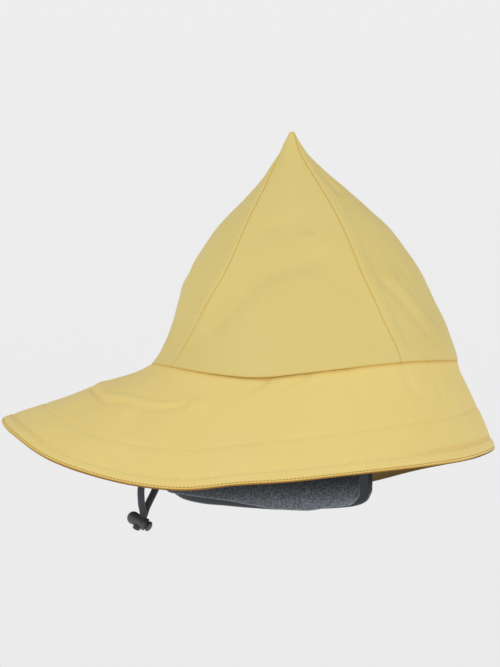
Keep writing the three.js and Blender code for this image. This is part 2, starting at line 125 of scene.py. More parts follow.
def peak(v, middle, width):
    """1 at the middle, and soft slopes down to 0 on both sides."""
    return np.exp(-(((v - middle) / width) ** 2))


def from_back(turn):
    """How far a turn round the head is from the back, either way, in degrees."""
    return np.abs(np.mod(turn + 180, 360) - 180)


def length_of(v):
    return np.linalg.norm(v, axis=-1)


def run_of(path):
    """The length of a path up to each of its points, for one path or for several side by side."""
    steps = length_of(np.diff(path, axis=0))
    return np.concatenate([np.zeros_like(steps[:1]), np.cumsum(steps, axis=0)])


def unit(v):
    return v / length_of(v)[..., None]


def points(x, y, z):
    return np.stack(np.broadcast_arrays(x, y, z), -1).astype(float)


# %% [markdown]
# ## The crown's form
# A gored crown isn't round: each gore is stretched between its seams, so the seams stand out as soft
# ridges. It is oval at the head and draws in to a point that leans a little to the back. Millimetres are
# used up to the mesh.

# %% The crown's form
HEAD_DEPTH = 193
HEAD_WIDTH = 160
CROWN_HEIGHT = 143.5
APEX_LEAN = 7.5
TIP_RADIUS = 2.2
CROWN_WALL = 1.6
SEAM_DIP = 11.3
GAP = 0.3
TIP = TIP_RADIUS / (HEAD_DEPTH / 2)
LEVEL_SHARE = 0.08
SHARE_STEP = 0.01
TURN_STEP = 0.5

sections = table("height depth width lean back_seam front_seam ridge", [
    (0, 1, 1, -0.07, 35.5, 131, 0.03),
    (0.05, 0.963, 0.972, -0.3, 36.5, 129.5, 0.05),
    (0.18, 0.888, 0.9, -0.33, 43, 125, 0.11),
    (0.27, 0.836, 0.84, -0.16, 48, 123, 0.15),
    (0.37, 0.777, 0.765, 0, 54, 120.5, 0.18),
    (0.5, 0.659, 0.645, 0, 56, 118.5, 0.2),
    (0.6, 0.543, 0.53, 0.12, 55.5, 118, 0.21),
    (0.71, 0.377, 0.375, 0.29, 52.5, 118.5, 0.22),
    (0.8, 0.241, 0.244, 0.5, 46.5, 119, 0.19),
    (0.9, 0.107, 0.112, 0.82, 30, 121, 0.1),
    (0.96, 0.055, 0.057, 0.97, 18, 125, 0.05),
    (1, TIP, TIP, 1, 12, 135, 0),
])
dips = table("turn dip", [
    (0, 0.1), (30, 0.28), (60, 0.82), (76, 1), (92, 0.8), (120, 0.32), (140, 0.08), (180, -0.05),
])
crown_dents = table("turn height across up slant depth", [
    (-158, 0.22, 9, 0.08, -60, 0.7),
    (-92, 0.43, 22, 0.05, 0, 0.55),
    (-84, 0.55, 7, 0.045, 0, 0.6),
    (-72, 0.2, 16, 0.05, 30, 0.5),
    (100, 0.35, 18, 0.07, 20, 0.6),
])
crown_depth, crown_width, crown_lean, back_seam, front_seam, ridge = (
    column_of(sections, "height", name) for name in list(sections)[1:])
dip = column_of(dips, "turn", "dip", level_ends=True)


def seam_level(turn):
    return -SEAM_DIP * dip(from_back(turn))


def plain_crown(turn, height):
    a = np.radians(turn)
    return points(
        HEAD_WIDTH / 2 * crown_width(height) * np.sin(a),
        HEAD_DEPTH / 2 * crown_depth(height) * np.cos(a) + APEX_LEAN * crown_lean(height),
        CROWN_HEIGHT * height + seam_level(turn) * (1 - height) ** 2,
    )


def normal_of(surface, u, v):
    along_u = surface(u + TURN_STEP, v) - surface(u - TURN_STEP, v)
    along_v = surface(u, v + SHARE_STEP) - surface(u, v - SHARE_STEP)
    return unit(np.cross(along_u, along_v))


def crown_outwards(turn, height):
    out = -normal_of(plain_crown, turn, np.clip(height, SHARE_STEP, 1 - SHARE_STEP))
    out[..., 2] *= smooth(height, 0, LEVEL_SHARE)
    return unit(out)


def ridge_share(turn, height):
    t = from_back(turn)
    back, front = back_seam(height), front_seam(height)
    side = np.abs(2 * t - back - front) / (front - back)
    middle = np.where(t < back, t / back, np.where(t < front, side, (180 - t) / (180 - front)))
    return 1 + ridge(height) * (1 / np.cos(np.pi / 4 * middle) - 1)


def bumps(columns, turn, height):
    """The sum of a table's soft dents, in walls."""
    total = 0
    for t, h, across, up, slant, depth in zip(*columns.values()):
        x = from_back(turn - t - slant * (height - h)) / across
        total = total + depth * np.exp(-x * x - ((height - h) / up) ** 2)
    return total


def crown_point(turn, height, depth=0):
    place = plain_crown(turn, height)
    proud = ridge_share(turn, height)
    middle = APEX_LEAN * crown_lean(height)
    place[..., 0] *= proud
    place[..., 1] = middle + (place[..., 1] - middle) * proud
    inwards = depth + CROWN_WALL * bumps(crown_dents, turn, height)
    return place - crown_outwards(turn, height) * inwards[..., None]


print("head oval", HEAD_WIDTH, "x", HEAD_DEPTH, "mm, crown", CROWN_HEIGHT, "mm high")

# %% [markdown]
# ## The brim's form
# The brim is one ring of cloth. Straight lines run from the seam to its edge, and the edge swings out at
# the back and down at the sides. The cloth is soft, so the edge also sags on the left side and hangs a
# little lower on the right. Its folds are soft lines that stand a little proud, or sink a little: each has
# a width and a height in millimetres and a path of turns and shares of the way down.

# %% The brim's form
BRIM_WALL = 2
HEM_WALL = 2.8
HEM_WIDTH = 8
BACK_REACH, SIDE_REACH, FRONT_REACH = 96.5, 36, 25
BACK_DROP, SIDE_DROP, FRONT_DROP = 35, 73.2, 54.4
FACING_WIDTH = 29
FACING_WALL = 0.9
SAG_TURN, SAG_ACROSS, SAG_SHARE = 100, 19, 0.09
HANG_TURN, HANG_ACROSS, HANG = -62, 32, 1.6

edge_rows = table("turn reach drop", [
    (0, 1, 1), (15, 0.94, 0.79), (30, 0.75, 0.34), (45, 0.45, 0.02), (60, 0.21, -0.11), (75, 0.07, -0.04),
    (90, 0, 0), (105, 0.26, 0.16), (120, 0.53, 0.32), (135, 0.7, 0.49), (150, 0.88, 0.66), (165, 0.97, 0.87),
    (180, 1, 1),
])
behind = edge_rows["turn"] < 90
edge_rows["reach"] = blend(SIDE_REACH, np.where(behind, BACK_REACH, FRONT_REACH), edge_rows["reach"])
edge_rows["drop"] = blend(SIDE_DROP, np.where(behind, BACK_DROP, FRONT_DROP), edge_rows["drop"])
brim_reach = column_of(edge_rows, "turn", "reach", level_ends=True)
brim_drop = column_of(edge_rows, "turn", "drop", level_ends=True)
BRIM_FOLDS = [
    (4.4, 1, [(-5, 0.35), (-21, 0.41), (-34, 0.36), (-43, 0.355), (-57, 0.25)]),
    (6.4, 0.8, [(10, 0.5), (24, 0.42), (42, 0.34)]),
    (13.6, -0.8, [(-16, 0.2), (16, 0.2)]),
    (2.8, -0.6, [(-79, 0.02), (-74, 0.1)]),
]


def brim_top(turn):
    top = crown_point(turn, np.zeros_like(turn), CROWN_WALL)
    top[..., 2] = seam_level(turn) - GAP
    return top


def brim_edge(turn):
    a = np.radians(turn)
    out = unit(points(np.sin(a) / HEAD_WIDTH, np.cos(a) / HEAD_DEPTH, 0))
    edge = brim_top(turn) + out * brim_reach(from_back(turn))[..., None]
    sag = SAG_SHARE * SIDE_DROP * peak(from_back(turn - SAG_TURN), 0, SAG_ACROSS)
    hang = HANG * peak(from_back(turn - HANG_TURN), 0, HANG_ACROSS)
    edge[..., 2] = -brim_drop(from_back(turn)) - sag - hang
    return edge


def plain_brim(turn, down):
    return blend(brim_top(turn), brim_edge(turn), np.asarray(down)[..., None])


def brim_length(turn):
    return length_of(brim_edge(turn) - brim_top(turn))


def off_line(place, a, b):
    """How far places are from the stretch between a and b."""
    t = np.clip(((place - a) @ (b - a)) / ((b - a) @ (b - a)), 0, 1)
    return length_of(place - a - t[..., None] * (b - a))


def crease_height(creases, form, turn, share):
    """How far soft creases, each with a width, a height and a path, lift a form or sink it."""
    place = form(turn, share)
    total = 0
    for width, height, path in creases:
        line = form(*np.array(path, float).T)
        off = np.min([off_line(place, a, b) for a, b in zip(line, line[1:])], axis=0)
        total = total + height * peak(off, 0, width)
    return total


def brim_point(turn, down, depth=0):
    out = normal_of(plain_brim, turn, down)
    lift = crease_height(BRIM_FOLDS, plain_brim, turn, down)
    return plain_brim(turn, down) + out * (lift - depth)[..., None]


around = np.linspace(-180, 180, 721)
edge_run = brim_point(around, np.ones_like(around))
print("brim edge", round(float(run_of(edge_run)[-1])), "mm round")

# %% [markdown]
# ## Cloth as a bent grid
# A cut panel of cloth is a flat grid before it is sewn. So each panel starts as Blender's own grid, and
# each of its points is moved to its place on the form. A second grid makes the inside, and the two rims are
# bridged. The grid's UV map is stretched to the cloth's real size in metres, so that a weave has one scale
# all over the hat.

# %% Helpers that bend a grid into cloth
def bend_grid(bm, surface, across, down, fold, inside=False, close=False):
    """Adds a grid whose points lie at surface(across, down), each marked with how much painted shade its
    colour gets.
    """
    uv = bm.loops.layers.uv.verify()
    marks = bm.verts.layers.float.get("fold") or bm.verts.layers.float.new("fold")
    columns, rows = len(across) - 1, len(down) - 1
    verts = bmesh.ops.create_grid(bm, x_segments=columns, y_segments=rows, size=0.5, calc_uvs=True)["verts"]
    flat = np.array([v.co[:2] for v in verts]) + 0.5
    i = np.rint(flat[:, 0] * columns).astype(int)
    j = np.rint(flat[:, 1] * rows).astype(int)
    places = surface(across[i], down[j]) * MM
    for vert, place, mark in zip(verts, places, fold(across[i], down[j])):
        vert.co = place
        vert[marks] = mark
    net = np.zeros((len(across), len(down), 3))
    net[i, j] = places
    along = run_of(net[:, len(down) // 2])
    fall = run_of(net.swapaxes(0, 1)).T
    fall = fall[:, -1:] - fall
    faces = {face for vert in verts for face in vert.link_faces}
    for face in faces:
        for loop in face.loops:
            u, v = loop[uv].uv
            a, b = round(u * columns), round(v * rows)
            loop[uv].uv = (along[a], fall[a, b])
    if inside:
        bmesh.ops.reverse_faces(bm, faces=list(faces))
    if close:
        ends = [v for v, k in zip(verts, i) if k in (0, columns)]
        bmesh.ops.remove_doubles(bm, verts=ends, dist=1e-6)


def rim_loops(bm):
    """The open rims of what a bmesh holds, each a list of edges."""
    left = {edge for edge in bm.edges if edge.is_boundary}
    loops = []
    while left:
        edge = left.pop()
        loop, front = [edge], [edge.verts[0], edge.verts[1]]
        while front:
            for other in front.pop().link_edges:
                if other in left:
                    left.remove(other)
                    loop.append(other)
                    front.extend(other.verts)
        loops.append(loop)
    return loops


def rim_middle(loop):
    return sum((edge.verts[0].co for edge in loop), Vector()) / len(loop)


def finish_mesh(bm, name, material, angle=math.radians(50)):
    """Turns a bmesh into an object with smooth shading."""
    mesh = bpy.data.meshes.new(name)
    bm.to_mesh(mesh)
    open_edges = sum(not edge.is_manifold for edge in bm.edges)
    bm.free()
    mesh.shade_smooth()
    mesh.set_sharp_from_angle(angle=angle)
    piece = bpy.data.objects.new(name, mesh)
    bpy.context.scene.collection.objects.link(piece)
    mesh.materials.append(material)
    print(name, len(mesh.polygons), "faces, open edges:", open_edges)
    return piece


def no_fold(across, down):
    return np.zeros(len(across))


def cloth_panel(name, material, outer, inner, across, down, close=False, lining=None, folds=(no_fold,) * 2):
    """A closed panel of cloth between an outer and an inner surface, which can have a lining's material."""
    bm = bmesh.new()
    bend_grid(bm, outer, across, down, folds[0], close=close)
    face_count = len(bm.faces)
    bend_grid(bm, inner, across, down, folds[1], inside=True, close=close)
    bm.faces.ensure_lookup_table()
    for face in bm.faces[face_count:]:
        face.material_index = 1 if lining else 0
    loops = sorted(rim_loops(bm), key=lambda loop: rim_middle(loop).z)
    for pair in zip(loops[::2], loops[1::2]):
        bmesh.ops.bridge_loops(bm, edges=pair[0] + pair[1])
    bmesh.ops.recalc_face_normals(bm, faces=bm.faces[:])
    piece = finish_mesh(bm, name, material)
    if lining:
        piece.data.materials.append(lining)
    return piece


def crowded(count, ends):
    """Shares from 0 to 1 that crowd towards both ends."""
    t = np.linspace(0, 1, count)
    return blend(t, smooth(t, 0, 1), ends)


def rounding(distance, radius):
    """How far a rounded edge lies below the surface at a distance from the edge."""
    inside = np.clip(1 - np.asarray(distance, float) / radius, 0, 1)
    return radius * (1 - np.sqrt(1 - inside * inside))


def uneven(places, size, seed):
    """A soft unevenness between -1 and 1, with lumps of about this size in millimetres."""
    shift = Vector((seed * 17.3, seed * 5.1, seed * 9.7))
    return np.array([noise.noise(Vector(p) / size + shift) for p in places])


# %% [markdown]
# ## Colours and the node helper
# Colours are read from the photograph, written as sRGB hex values and turned to linear by one function. One
# helper adds a shader node with its settings, and another gives a node its values and links.

# %% Colours and the node helper
def linear(hex_value):
    """An sRGB hex colour as linear RGBA."""
    channels = [int(hex_value[i:i + 2], 16) / 255 for i in (0, 2, 4)]
    return [c / 12.92 if c <= 0.04045 else ((c + 0.055) / 1.055) ** 2.4 for c in channels] + [1]


def new_material(name):
    material = bpy.data.materials.new(name)
    material.use_nodes = True
    tree = material.node_tree
    return material, tree, tree.nodes["Principled BSDF"]


def feed(node, inputs):
    """Gives each input its value, or links it to a socket."""
    for key, value in inputs.items():
        if isinstance(value, bpy.types.NodeSocket):
            node.id_data.links.new(value, node.inputs[key])
        else:
            node.inputs[key].default_value = value


def add_node(tree, kind, inputs=None, **settings):
    """A node with its settings and its inputs."""
    made = tree.nodes.new(kind)
    for key, value in settings.items():
        setattr(made, key, value)
    feed(made, inputs or {})
    return made


def fill_ramp(node, stops):
    """Sets a colour ramp's stops, each a position and a linear colour, from left to right."""
    elements = node.color_ramp.elements
    for _ in stops[2:]:
        elements.new(1)
    for element, (position, colour) in zip(elements, stops):
        element.position = position
        element.color = colour


# %% [markdown]
# ## Coated rain cloth
# The outside is a woven polyester laminated with a matt polyurethane film: smooth, without shine, and one
# even warm yellow. The eye sees soft light on it, faint slubs of the weave under the film, and a deeper, more
# orange yellow in the shade where the cloth folds in on itself at a seam. That shade is painted into the
# colour. The slubs are really about 0.4 mm apart. They are drawn about 1 mm apart, because anything finer
# doesn't show at this size. Under them lie a slow drift of tone, about 45 mm across, and a faint relief about
# 14 mm across. A vertex attribute holds the painted shade at the seams, on the rim and inside the hem: up to
# a half the cloth only turns warmer, and above that it turns brown. The cloth's reverse side has no film, and
# the hat's shade on it is painted into its colour, so it is drawn a much darker, duller yellow.

# %% Coated rain cloth
CROWN_TONES = ("d5bf70", "dac77d")
BRIM_TONES = ("e0c774", "e4ce81")
# Painted shade: warm orange at the seams and dark brown on the rim.
WARM_PAINTED_SHADE = "cc9a2c"
BROWN_PAINTED_SHADE = "80540c"
# The reverse side's colour is the cloth's back with the hat's painted shade in it.
CLOTH_BACK_PAINTED_SHADE = "7d6930"
# Painted shade: the dark brown inside the hem.
HEM_PAINTED_SHADE = "57400f"
SLUB = 1.0 * MM
SLUB_LENGTH = 7
DRIFT = 1 / 22
CREASE = 1 / 70
STITCH_PITCH = 2.6
PUCKER_WIDTH = 2.2 * MM


def rain_cloth(name, tones, stitched=False):
    material, tree, shader = new_material(name)
    cloth = add_node(tree, "ShaderNodeTexCoord")
    drift = add_node(tree, "ShaderNodeTexNoise", {
        "Vector": cloth.outputs["Object"], "Scale": 1 / DRIFT, "Detail": 3})
    tone = add_node(tree, "ShaderNodeMix", {
        "Factor": drift.outputs["Fac"], "A": linear(tones[0]), "B": linear(tones[1])}, data_type="RGBA")
    fold = add_node(tree, "ShaderNodeAttribute", attribute_name="fold")
    # Painted shade: the cloth turns warmer and then brown as the attribute's painted shade grows.
    for low, high, shade_colour in ((0, 0.5, WARM_PAINTED_SHADE), (0.5, 1, BROWN_PAINTED_SHADE)):
        share = add_node(tree, "ShaderNodeMapRange", {
            "Value": fold.outputs["Fac"], "From Min": low, "From Max": high})
        tone = add_node(tree, "ShaderNodeMix", {
            "Factor": share.outputs["Result"], "A": tone.outputs["Result"], "B": linear(shade_colour)},
            data_type="RGBA")
    heights = []
    for turned in (0, 1):
        stretch = [1 / SLUB, 1 / SLUB, 1]
        stretch[turned] /= SLUB_LENGTH
        threads = add_node(tree, "ShaderNodeMapping", {"Vector": cloth.outputs["UV"], "Scale": stretch})
        slubs = add_node(tree, "ShaderNodeTexNoise", {
            "Vector": threads.outputs["Vector"], "Scale": 1, "Detail": 1})
        heights.append(slubs.outputs["Fac"])
    weave = add_node(tree, "ShaderNodeMath", {0: heights[0], 1: heights[1]}, operation="ADD")
    grain = add_node(tree, "ShaderNodeBump", {
        "Height": weave.outputs["Value"], "Strength": 0.1, "Distance": 0.06 * MM})
    creases = add_node(tree, "ShaderNodeTexNoise", {
        "Vector": cloth.outputs["Object"], "Scale": 1 / CREASE, "Detail": 2})
    relief = add_node(tree, "ShaderNodeBump", {
        "Height": creases.outputs["Fac"], "Strength": 0.35, "Distance": 0.5 * MM,
        "Normal": grain.outputs["Normal"]})
    if stitched:
        place = add_node(tree, "ShaderNodeSeparateXYZ", {"Vector": cloth.outputs["UV"]})
        phase = add_node(tree, "ShaderNodeMath", {
            0: place.outputs["X"], 1: 2 * math.pi / (STITCH_PITCH * MM)}, operation="MULTIPLY")
        wave = add_node(tree, "ShaderNodeMath", {0: phase.outputs["Value"]}, operation="SINE")
        off = add_node(tree, "ShaderNodeMath", {
            0: place.outputs["Y"], 1: HEM_WIDTH * MM}, operation="SUBTRACT")
        away_from = add_node(tree, "ShaderNodeMath", {0: off.outputs["Value"]}, operation="ABSOLUTE")
        near = add_node(tree, "ShaderNodeMapRange", {
            "Value": away_from.outputs["Value"], "From Max": PUCKER_WIDTH, "To Min": 1, "To Max": 0},
            interpolation_type="SMOOTHSTEP")
        pucker = add_node(tree, "ShaderNodeMath", {
            0: wave.outputs["Value"], 1: near.outputs["Result"]}, operation="MULTIPLY")
        relief = add_node(tree, "ShaderNodeBump", {
            "Height": pucker.outputs["Value"], "Strength": 0.6, "Distance": 0.2 * MM,
            "Normal": relief.outputs["Normal"]})
    feed(shader, {
        "Base Color": tone.outputs["Result"], "Normal": relief.outputs["Normal"], "Roughness": 0.68,
        "IOR": 1.46, "Sheen Weight": 0.12, "Sheen Roughness": 0.45})
    return material


cloth_plain = rain_cloth("polyurethane_coated_polyester", CROWN_TONES)
# The reverse side is drawn dark with painted shade, and darker still inside the hem.
cloth_back, back_tree, cloth_back_shader = new_material("woven_polyester_back_painted_shade")
back_fold = add_node(back_tree, "ShaderNodeAttribute", attribute_name="fold")
back_tone = add_node(back_tree, "ShaderNodeMix", {
    "Factor": back_fold.outputs["Fac"], "A": linear(CLOTH_BACK_PAINTED_SHADE), "B": linear(HEM_PAINTED_SHADE)}, data_type="RGBA")
feed(cloth_back_shader, {"Base Color": back_tone.outputs["Result"], "Roughness": 0.8})
cloth_hemmed = rain_cloth("polyurethane_coated_polyester_stitched_hem", BRIM_TONES, stitched=True)
print("crown", CROWN_TONES, "brim", BRIM_TONES, "folds", BROWN_PAINTED_SHADE)

# %% [markdown]
# ## Brushed fleece
# The flaps are polyester fleece, knitted and then brushed until its loops break into a soft nap. The eye sees
# no threads, only a grain of light and dark tufts a millimetre or two across, and a pale haze along the rims
# where the nap catches the light. The haze is the shader's sheen, and the tufts are both in the mesh and in
# the colour. The colour also holds painted shade and painted light: it is drawn darker up under the brim,
# where the brim's shade falls, and paler towards the flaps' free lower edge.

# %% Brushed fleece
FLEECE_TONES = [(0.3, "2e3034"), (0.5, "52565c"), (0.74, "858b93")]
FLEECE_HAZE = "aeb4bc"
FLEECE_BACK = "474a50"
TUFT = 1.1 * MM
# Heights between which the fleece's colour goes from painted shade to painted light.
PAINTED_SHADE_LEVEL = -72 * MM
PAINTED_LIGHT_LEVEL = -88 * MM


def brushed_fleece(name):
    material, tree, shader = new_material(name)
    place = add_node(tree, "ShaderNodeTexCoord")
    tufts = add_node(tree, "ShaderNodeTexNoise", {
        "Vector": place.outputs["Object"], "Scale": 1 / TUFT, "Detail": 4, "Roughness": 0.7})
    height = add_node(tree, "ShaderNodeSeparateXYZ", {"Vector": place.outputs["Object"]})
    # Painted shade and painted light: darker up under the brim, paler towards the lower edge.
    painted_shade_and_light = add_node(tree, "ShaderNodeMapRange", {
        "Value": height.outputs["Z"], "From Min": PAINTED_SHADE_LEVEL, "From Max": PAINTED_LIGHT_LEVEL,
        "To Min": -0.24, "To Max": 0.13})
    tufts_and_painted_shade = add_node(tree, "ShaderNodeMath", {
        0: tufts.outputs["Fac"], 1: painted_shade_and_light.outputs["Result"]}, operation="ADD")
    ramp = add_node(tree, "ShaderNodeValToRGB", {"Fac": tufts_and_painted_shade.outputs["Value"]})
    fill_ramp(ramp, [(position, linear(tone)) for position, tone in FLEECE_TONES])
    grain = add_node(tree, "ShaderNodeBump", {
        "Height": tufts.outputs["Fac"], "Strength": 0.8, "Distance": 0.6 * MM})
    feed(shader, {
        "Base Color": ramp.outputs["Color"], "Normal": grain.outputs["Normal"], "Roughness": 0.95,
        "Specular IOR Level": 0.2, "Sheen Weight": 0.7, "Sheen Roughness": 0.5,
        "Sheen Tint": linear(FLEECE_HAZE)})
    return material


fleece = brushed_fleece("brushed_polyester_fleece")
fleece_back, _, back_shader = new_material("knitted_polyester_fleece_back")
feed(back_shader, {"Base Color": linear(FLEECE_BACK), "Roughness": 0.9, "Sheen Weight": 0.3})
print("fleece tufts", round(TUFT / MM, 2), "mm")

# %% [markdown]
# ## Braided elastic and moulded plastic
# The drawcord is rubber covered by a dark braid of polyester, so it shows a fine matt diamond pattern. The
# UV map runs round the cord and along it, and crossing waves on it give the braid. The lock is moulded
# acetal with a spark-eroded matt face: dark grey, with a broad soft highlight and a very fine grain.

# %% Braided elastic and moulded plastic
BRAID_PITCH = 4.2 * MM
BRAID_ENDS = 8
BRAID_ROWS = 3
ELASTIC_TONES = ("2a2c33", "43464f")
ACETAL_TONES = ("403e41", "535053")
GRIT = 0.4 * MM


def braided_elastic(name):
    material, tree, shader = new_material(name)
    place = add_node(tree, "ShaderNodeTexCoord")
    parts = add_node(tree, "ShaderNodeSeparateXYZ", {"Vector": place.outputs["UV"]})
    turns = add_node(tree, "ShaderNodeMath", {
        0: parts.outputs["X"], 1: 2 * math.pi * BRAID_ENDS}, operation="MULTIPLY")
    run = add_node(tree, "ShaderNodeMath", {
        0: parts.outputs["Y"], 1: 2 * math.pi * BRAID_ROWS / BRAID_PITCH}, operation="MULTIPLY")
    waves = []
    for way in ("ADD", "SUBTRACT"):
        cross = add_node(tree, "ShaderNodeMath", {
            0: turns.outputs["Value"], 1: run.outputs["Value"]}, operation=way)
        waves.append(add_node(tree, "ShaderNodeMath", {0: cross.outputs["Value"]}, operation="SINE"))
    diamonds = add_node(tree, "ShaderNodeMath", {
        0: waves[0].outputs["Value"], 1: waves[1].outputs["Value"]}, operation="MULTIPLY")
    share = add_node(tree, "ShaderNodeMapRange", {
        "Value": diamonds.outputs["Value"], "From Min": -1, "From Max": 1})
    colour = add_node(tree, "ShaderNodeMix", {
        "Factor": share.outputs["Result"], "A": linear(ELASTIC_TONES[0]), "B": linear(ELASTIC_TONES[1])},
        data_type="RGBA")
    bump = add_node(tree, "ShaderNodeBump", {
        "Height": share.outputs["Result"], "Strength": 0.7, "Distance": 0.15 * MM})
    feed(shader, {
        "Base Color": colour.outputs["Result"], "Normal": bump.outputs["Normal"], "Roughness": 0.8,
        "Sheen Weight": 0.2})
    return material


def moulded_acetal(name):
    material, tree, shader = new_material(name)
    place = add_node(tree, "ShaderNodeTexCoord")
    grit = add_node(tree, "ShaderNodeTexNoise", {
        "Vector": place.outputs["Object"], "Scale": 1 / GRIT, "Detail": 2})
    tone = add_node(tree, "ShaderNodeMix", {
        "Factor": grit.outputs["Fac"], "A": linear(ACETAL_TONES[0]), "B": linear(ACETAL_TONES[1])},
        data_type="RGBA")
    bump = add_node(tree, "ShaderNodeBump", {
        "Height": grit.outputs["Fac"], "Strength": 0.25, "Distance": 0.05 * MM})
    feed(shader, {
        "Base Color": tone.outputs["Result"], "Normal": bump.outputs["Normal"], "Roughness": 0.42,
        "IOR": 1.48})
    return material


elastic = braided_elastic("braided_polyester_elastic")
acetal = moulded_acetal("moulded_acetal")
print("braid pitch", BRAID_PITCH / MM, "mm")

# %% [markdown]
# ## The drawcord
# Two strands of round elastic leave the nape band's tunnel and hang into the lock, and their cut ends show
# below it. They come first, because the frame checks how far a cord spreads. A strand is a circle swept
# along a smooth curve. It leaves the tunnel and meets the lock where the solids do, and on the way the
# right strand follows the photograph and lies up to about 2 mm from its solid.

# %% The drawcord's route
CORD_DIAMETER = 4.5
CORD_SPACING = 5.2
CORD_EXIT_TURN = 10.6
CORD_END_LENGTH = 3.2
CORD_ALONG_BARREL = 8.8
CORD_SEAT = 2.5
LOCK_TILT = math.radians(29)
LOCK_DOME_END = Vector((0, 111.3, -96.2))
FLEECE = 2.6
FLEECE_INSET = CROWN_WALL + BRIM_WALL + GAP
FLAP_DROP = 92.5
NAPE_DROP = 64
NAPE_FLARE = 5
fleece_flares = table("turn flare", [(0, 1), (28, 0.8), (60, 0.1), (90, -0.35), (120, -0.5)])
fleece_flare = column_of(fleece_flares, "turn", "flare")
ROUTES = {
    "right": [
        (-14.4, 94.4, -68.5), (-14, 98, -72), (-13.1, 100.7, -75.8), (-11.6, 101.7, -80.6),
        (-9.2, 101.9, -85.4), (-6, 101.9, -90)],
    "left": [
        (13.6, 92.6, -71.5), (12.6, 93.6, -76), (11.2, 95.2, -80.4), (9, 97, -84.6), (6.4, 98.8, -88.8),
        (4.2, 100.2, -92.4)],
}
lock_turn = Matrix.Translation(LOCK_DOME_END) @ Matrix.Rotation(math.pi + LOCK_TILT, 4, "X")


def fleece_point(turn, z, depth):
    """A place on the fleece, which hangs just inside the brim's top."""
    a = np.radians(turn)
    hang = np.maximum(0, -z / FLAP_DROP)
    out = NAPE_FLARE * fleece_flare(from_back(turn)) * hang * hang - FLEECE_INSET - depth
    return points((HEAD_WIDTH / 2 + out) * np.sin(a), (HEAD_DEPTH / 2 + out) * np.cos(a), z)


def lock_place(side, height):
    """A place beside the lock's slot, by its height above the barrel's axis."""
    return lock_turn @ Vector((side * CORD_SPACING / 2, CORD_ALONG_BARREL, -height))


def smooth_path(stops, step):
    """A centripetal curve through the stops, as the CAD's tubes follow, cut into even steps."""
    stops = np.array(stops, float)
    stops = np.vstack([2 * stops[0] - stops[1], stops, 2 * stops[-1] - stops[-2]])
    fine = []
    for a, b, c, d in zip(stops, stops[1:], stops[2:], stops[3:]):
        t = np.cumsum([0] + [math.sqrt(math.dist(p, q)) for p, q in ((a, b), (b, c), (c, d))])
        for s in np.linspace(t[1], t[2], 24, endpoint=False):
            ab = blend(a, b, (s - t[0]) / (t[1] - t[0]))
            bc = blend(b, c, (s - t[1]) / (t[2] - t[1]))
            cd = blend(c, d, (s - t[2]) / (t[3] - t[2]))
            abc = blend(ab, bc, (s - t[0]) / (t[2] - t[0]))
            bcd = blend(bc, cd, (s - t[1]) / (t[3] - t[1]))
            fine.append(blend(abc, bcd, (s - t[1]) / (t[2] - t[1])))
    fine = np.array(fine + [stops[-2]])
    run = run_of(fine)
    stations = np.linspace(0, run[-1], max(3, round(run[-1] / step) + 1))
    return np.stack([np.interp(stations, run, fine[:, k]) for k in range(3)], 1), run[-1]


# %% [markdown]
# The tube is a circle that is extruded one step at a time and carried along the route. Its two ends are
# closed, and their rims rounded, because a cut elastic end shrinks back a little.

# %% The drawcord's strands
CORD_RING = 20
CORD_STEP = 0.9
CUT_END_STEP = 0.4
END_SHRINK = 0.35
END_ROUNDING = 0.4


def cord_tube(name, stops, step=CORD_STEP):
    path, length = smooth_path(stops, step)
    radius = CORD_DIAMETER / 2
    heading = unit(np.gradient(path, axis=0))
    side = Vector(heading[0]).orthogonal().normalized()
    run = run_of(path)
    soft_end = radius * END_ROUNDING
    shrink = 1 - END_SHRINK * rounding(np.minimum(run, run[-1] - run), soft_end) / soft_end
    bm = bmesh.new()
    uv = bm.loops.layers.uv.verify()
    ring = bmesh.ops.create_circle(bm, cap_ends=False, radius=1, segments=CORD_RING)["verts"]
    round_it = {vert: k for k, vert in enumerate(ring)}
    rings = []
    for k, place in enumerate(path):
        if k:
            last = [edge for edge in bm.edges if all(vert in rings[-1] for vert in edge.verts)]
            grown = bmesh.ops.extrude_edge_only(bm, edges=last)
            new = [g for g in grown["geom"] if isinstance(g, bmesh.types.BMVert)]
            ring = []
            for old in rings[-1]:
                ring.append(next(e.other_vert(old) for e in old.link_edges if e.other_vert(old) in new))
        turn = Vector(heading[k])
        side = (side - turn * side.dot(turn)).normalized()
        other = turn.cross(side)
        for n, vert in enumerate(ring):
            a = 2 * math.pi * n / CORD_RING
            vert.co = (Vector(place) + (side * math.cos(a) + other * math.sin(a)) * radius * shrink[k]) * MM
            round_it[vert] = n
        rings.append(ring)
    station = {vert: k for k, ring in enumerate(rings) for vert in ring}
    for face in bm.faces:
        around_it = [round_it[loop.vert] for loop in face.loops]
        for loop, n in zip(face.loops, around_it):
            n += CORD_RING if n == 0 and max(around_it) == CORD_RING - 1 else 0
            loop[uv].uv = (n / CORD_RING, run[station[loop.vert]] * MM)
    for ring in (rings[0], rings[-1]):
        bmesh.ops.contextual_create(bm, geom=ring)
    bmesh.ops.recalc_face_normals(bm, faces=bm.faces[:])
    piece = finish_mesh(bm, name, elastic)
    print(name, "is", round(length, 1), "mm long")
    return piece, path * MM, length * MM


for side_name, side_sign in (("right", -1), ("left", 1)):
    start = fleece_point(side_sign * CORD_EXIT_TURN, -NAPE_DROP, FLEECE / 2) - [0, 0, GAP]
    below = start - [0, 0, CORD_DIAMETER / 2]
    ends = [lock_place(side_sign, CORD_SEAT + CORD_DIAMETER / 2), lock_place(side_sign, CORD_SEAT)]
    strand, path, length = cord_tube("elastic_strand_" + side_name, [start, below, *ROUTES[side_name], *ends])
    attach(strand, "hat")
    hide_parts("drawcord_" + side_name)
    cut_stops = [lock_place(side_sign, -CORD_SEAT), lock_place(side_sign, -CORD_SEAT - CORD_END_LENGTH)]
    cut_end, _, _ = cord_tube("elastic_cut_end_" + side_name, cut_stops, CUT_END_STEP)
    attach(cut_end, "hat")
    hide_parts("drawcord_end_" + side_name)
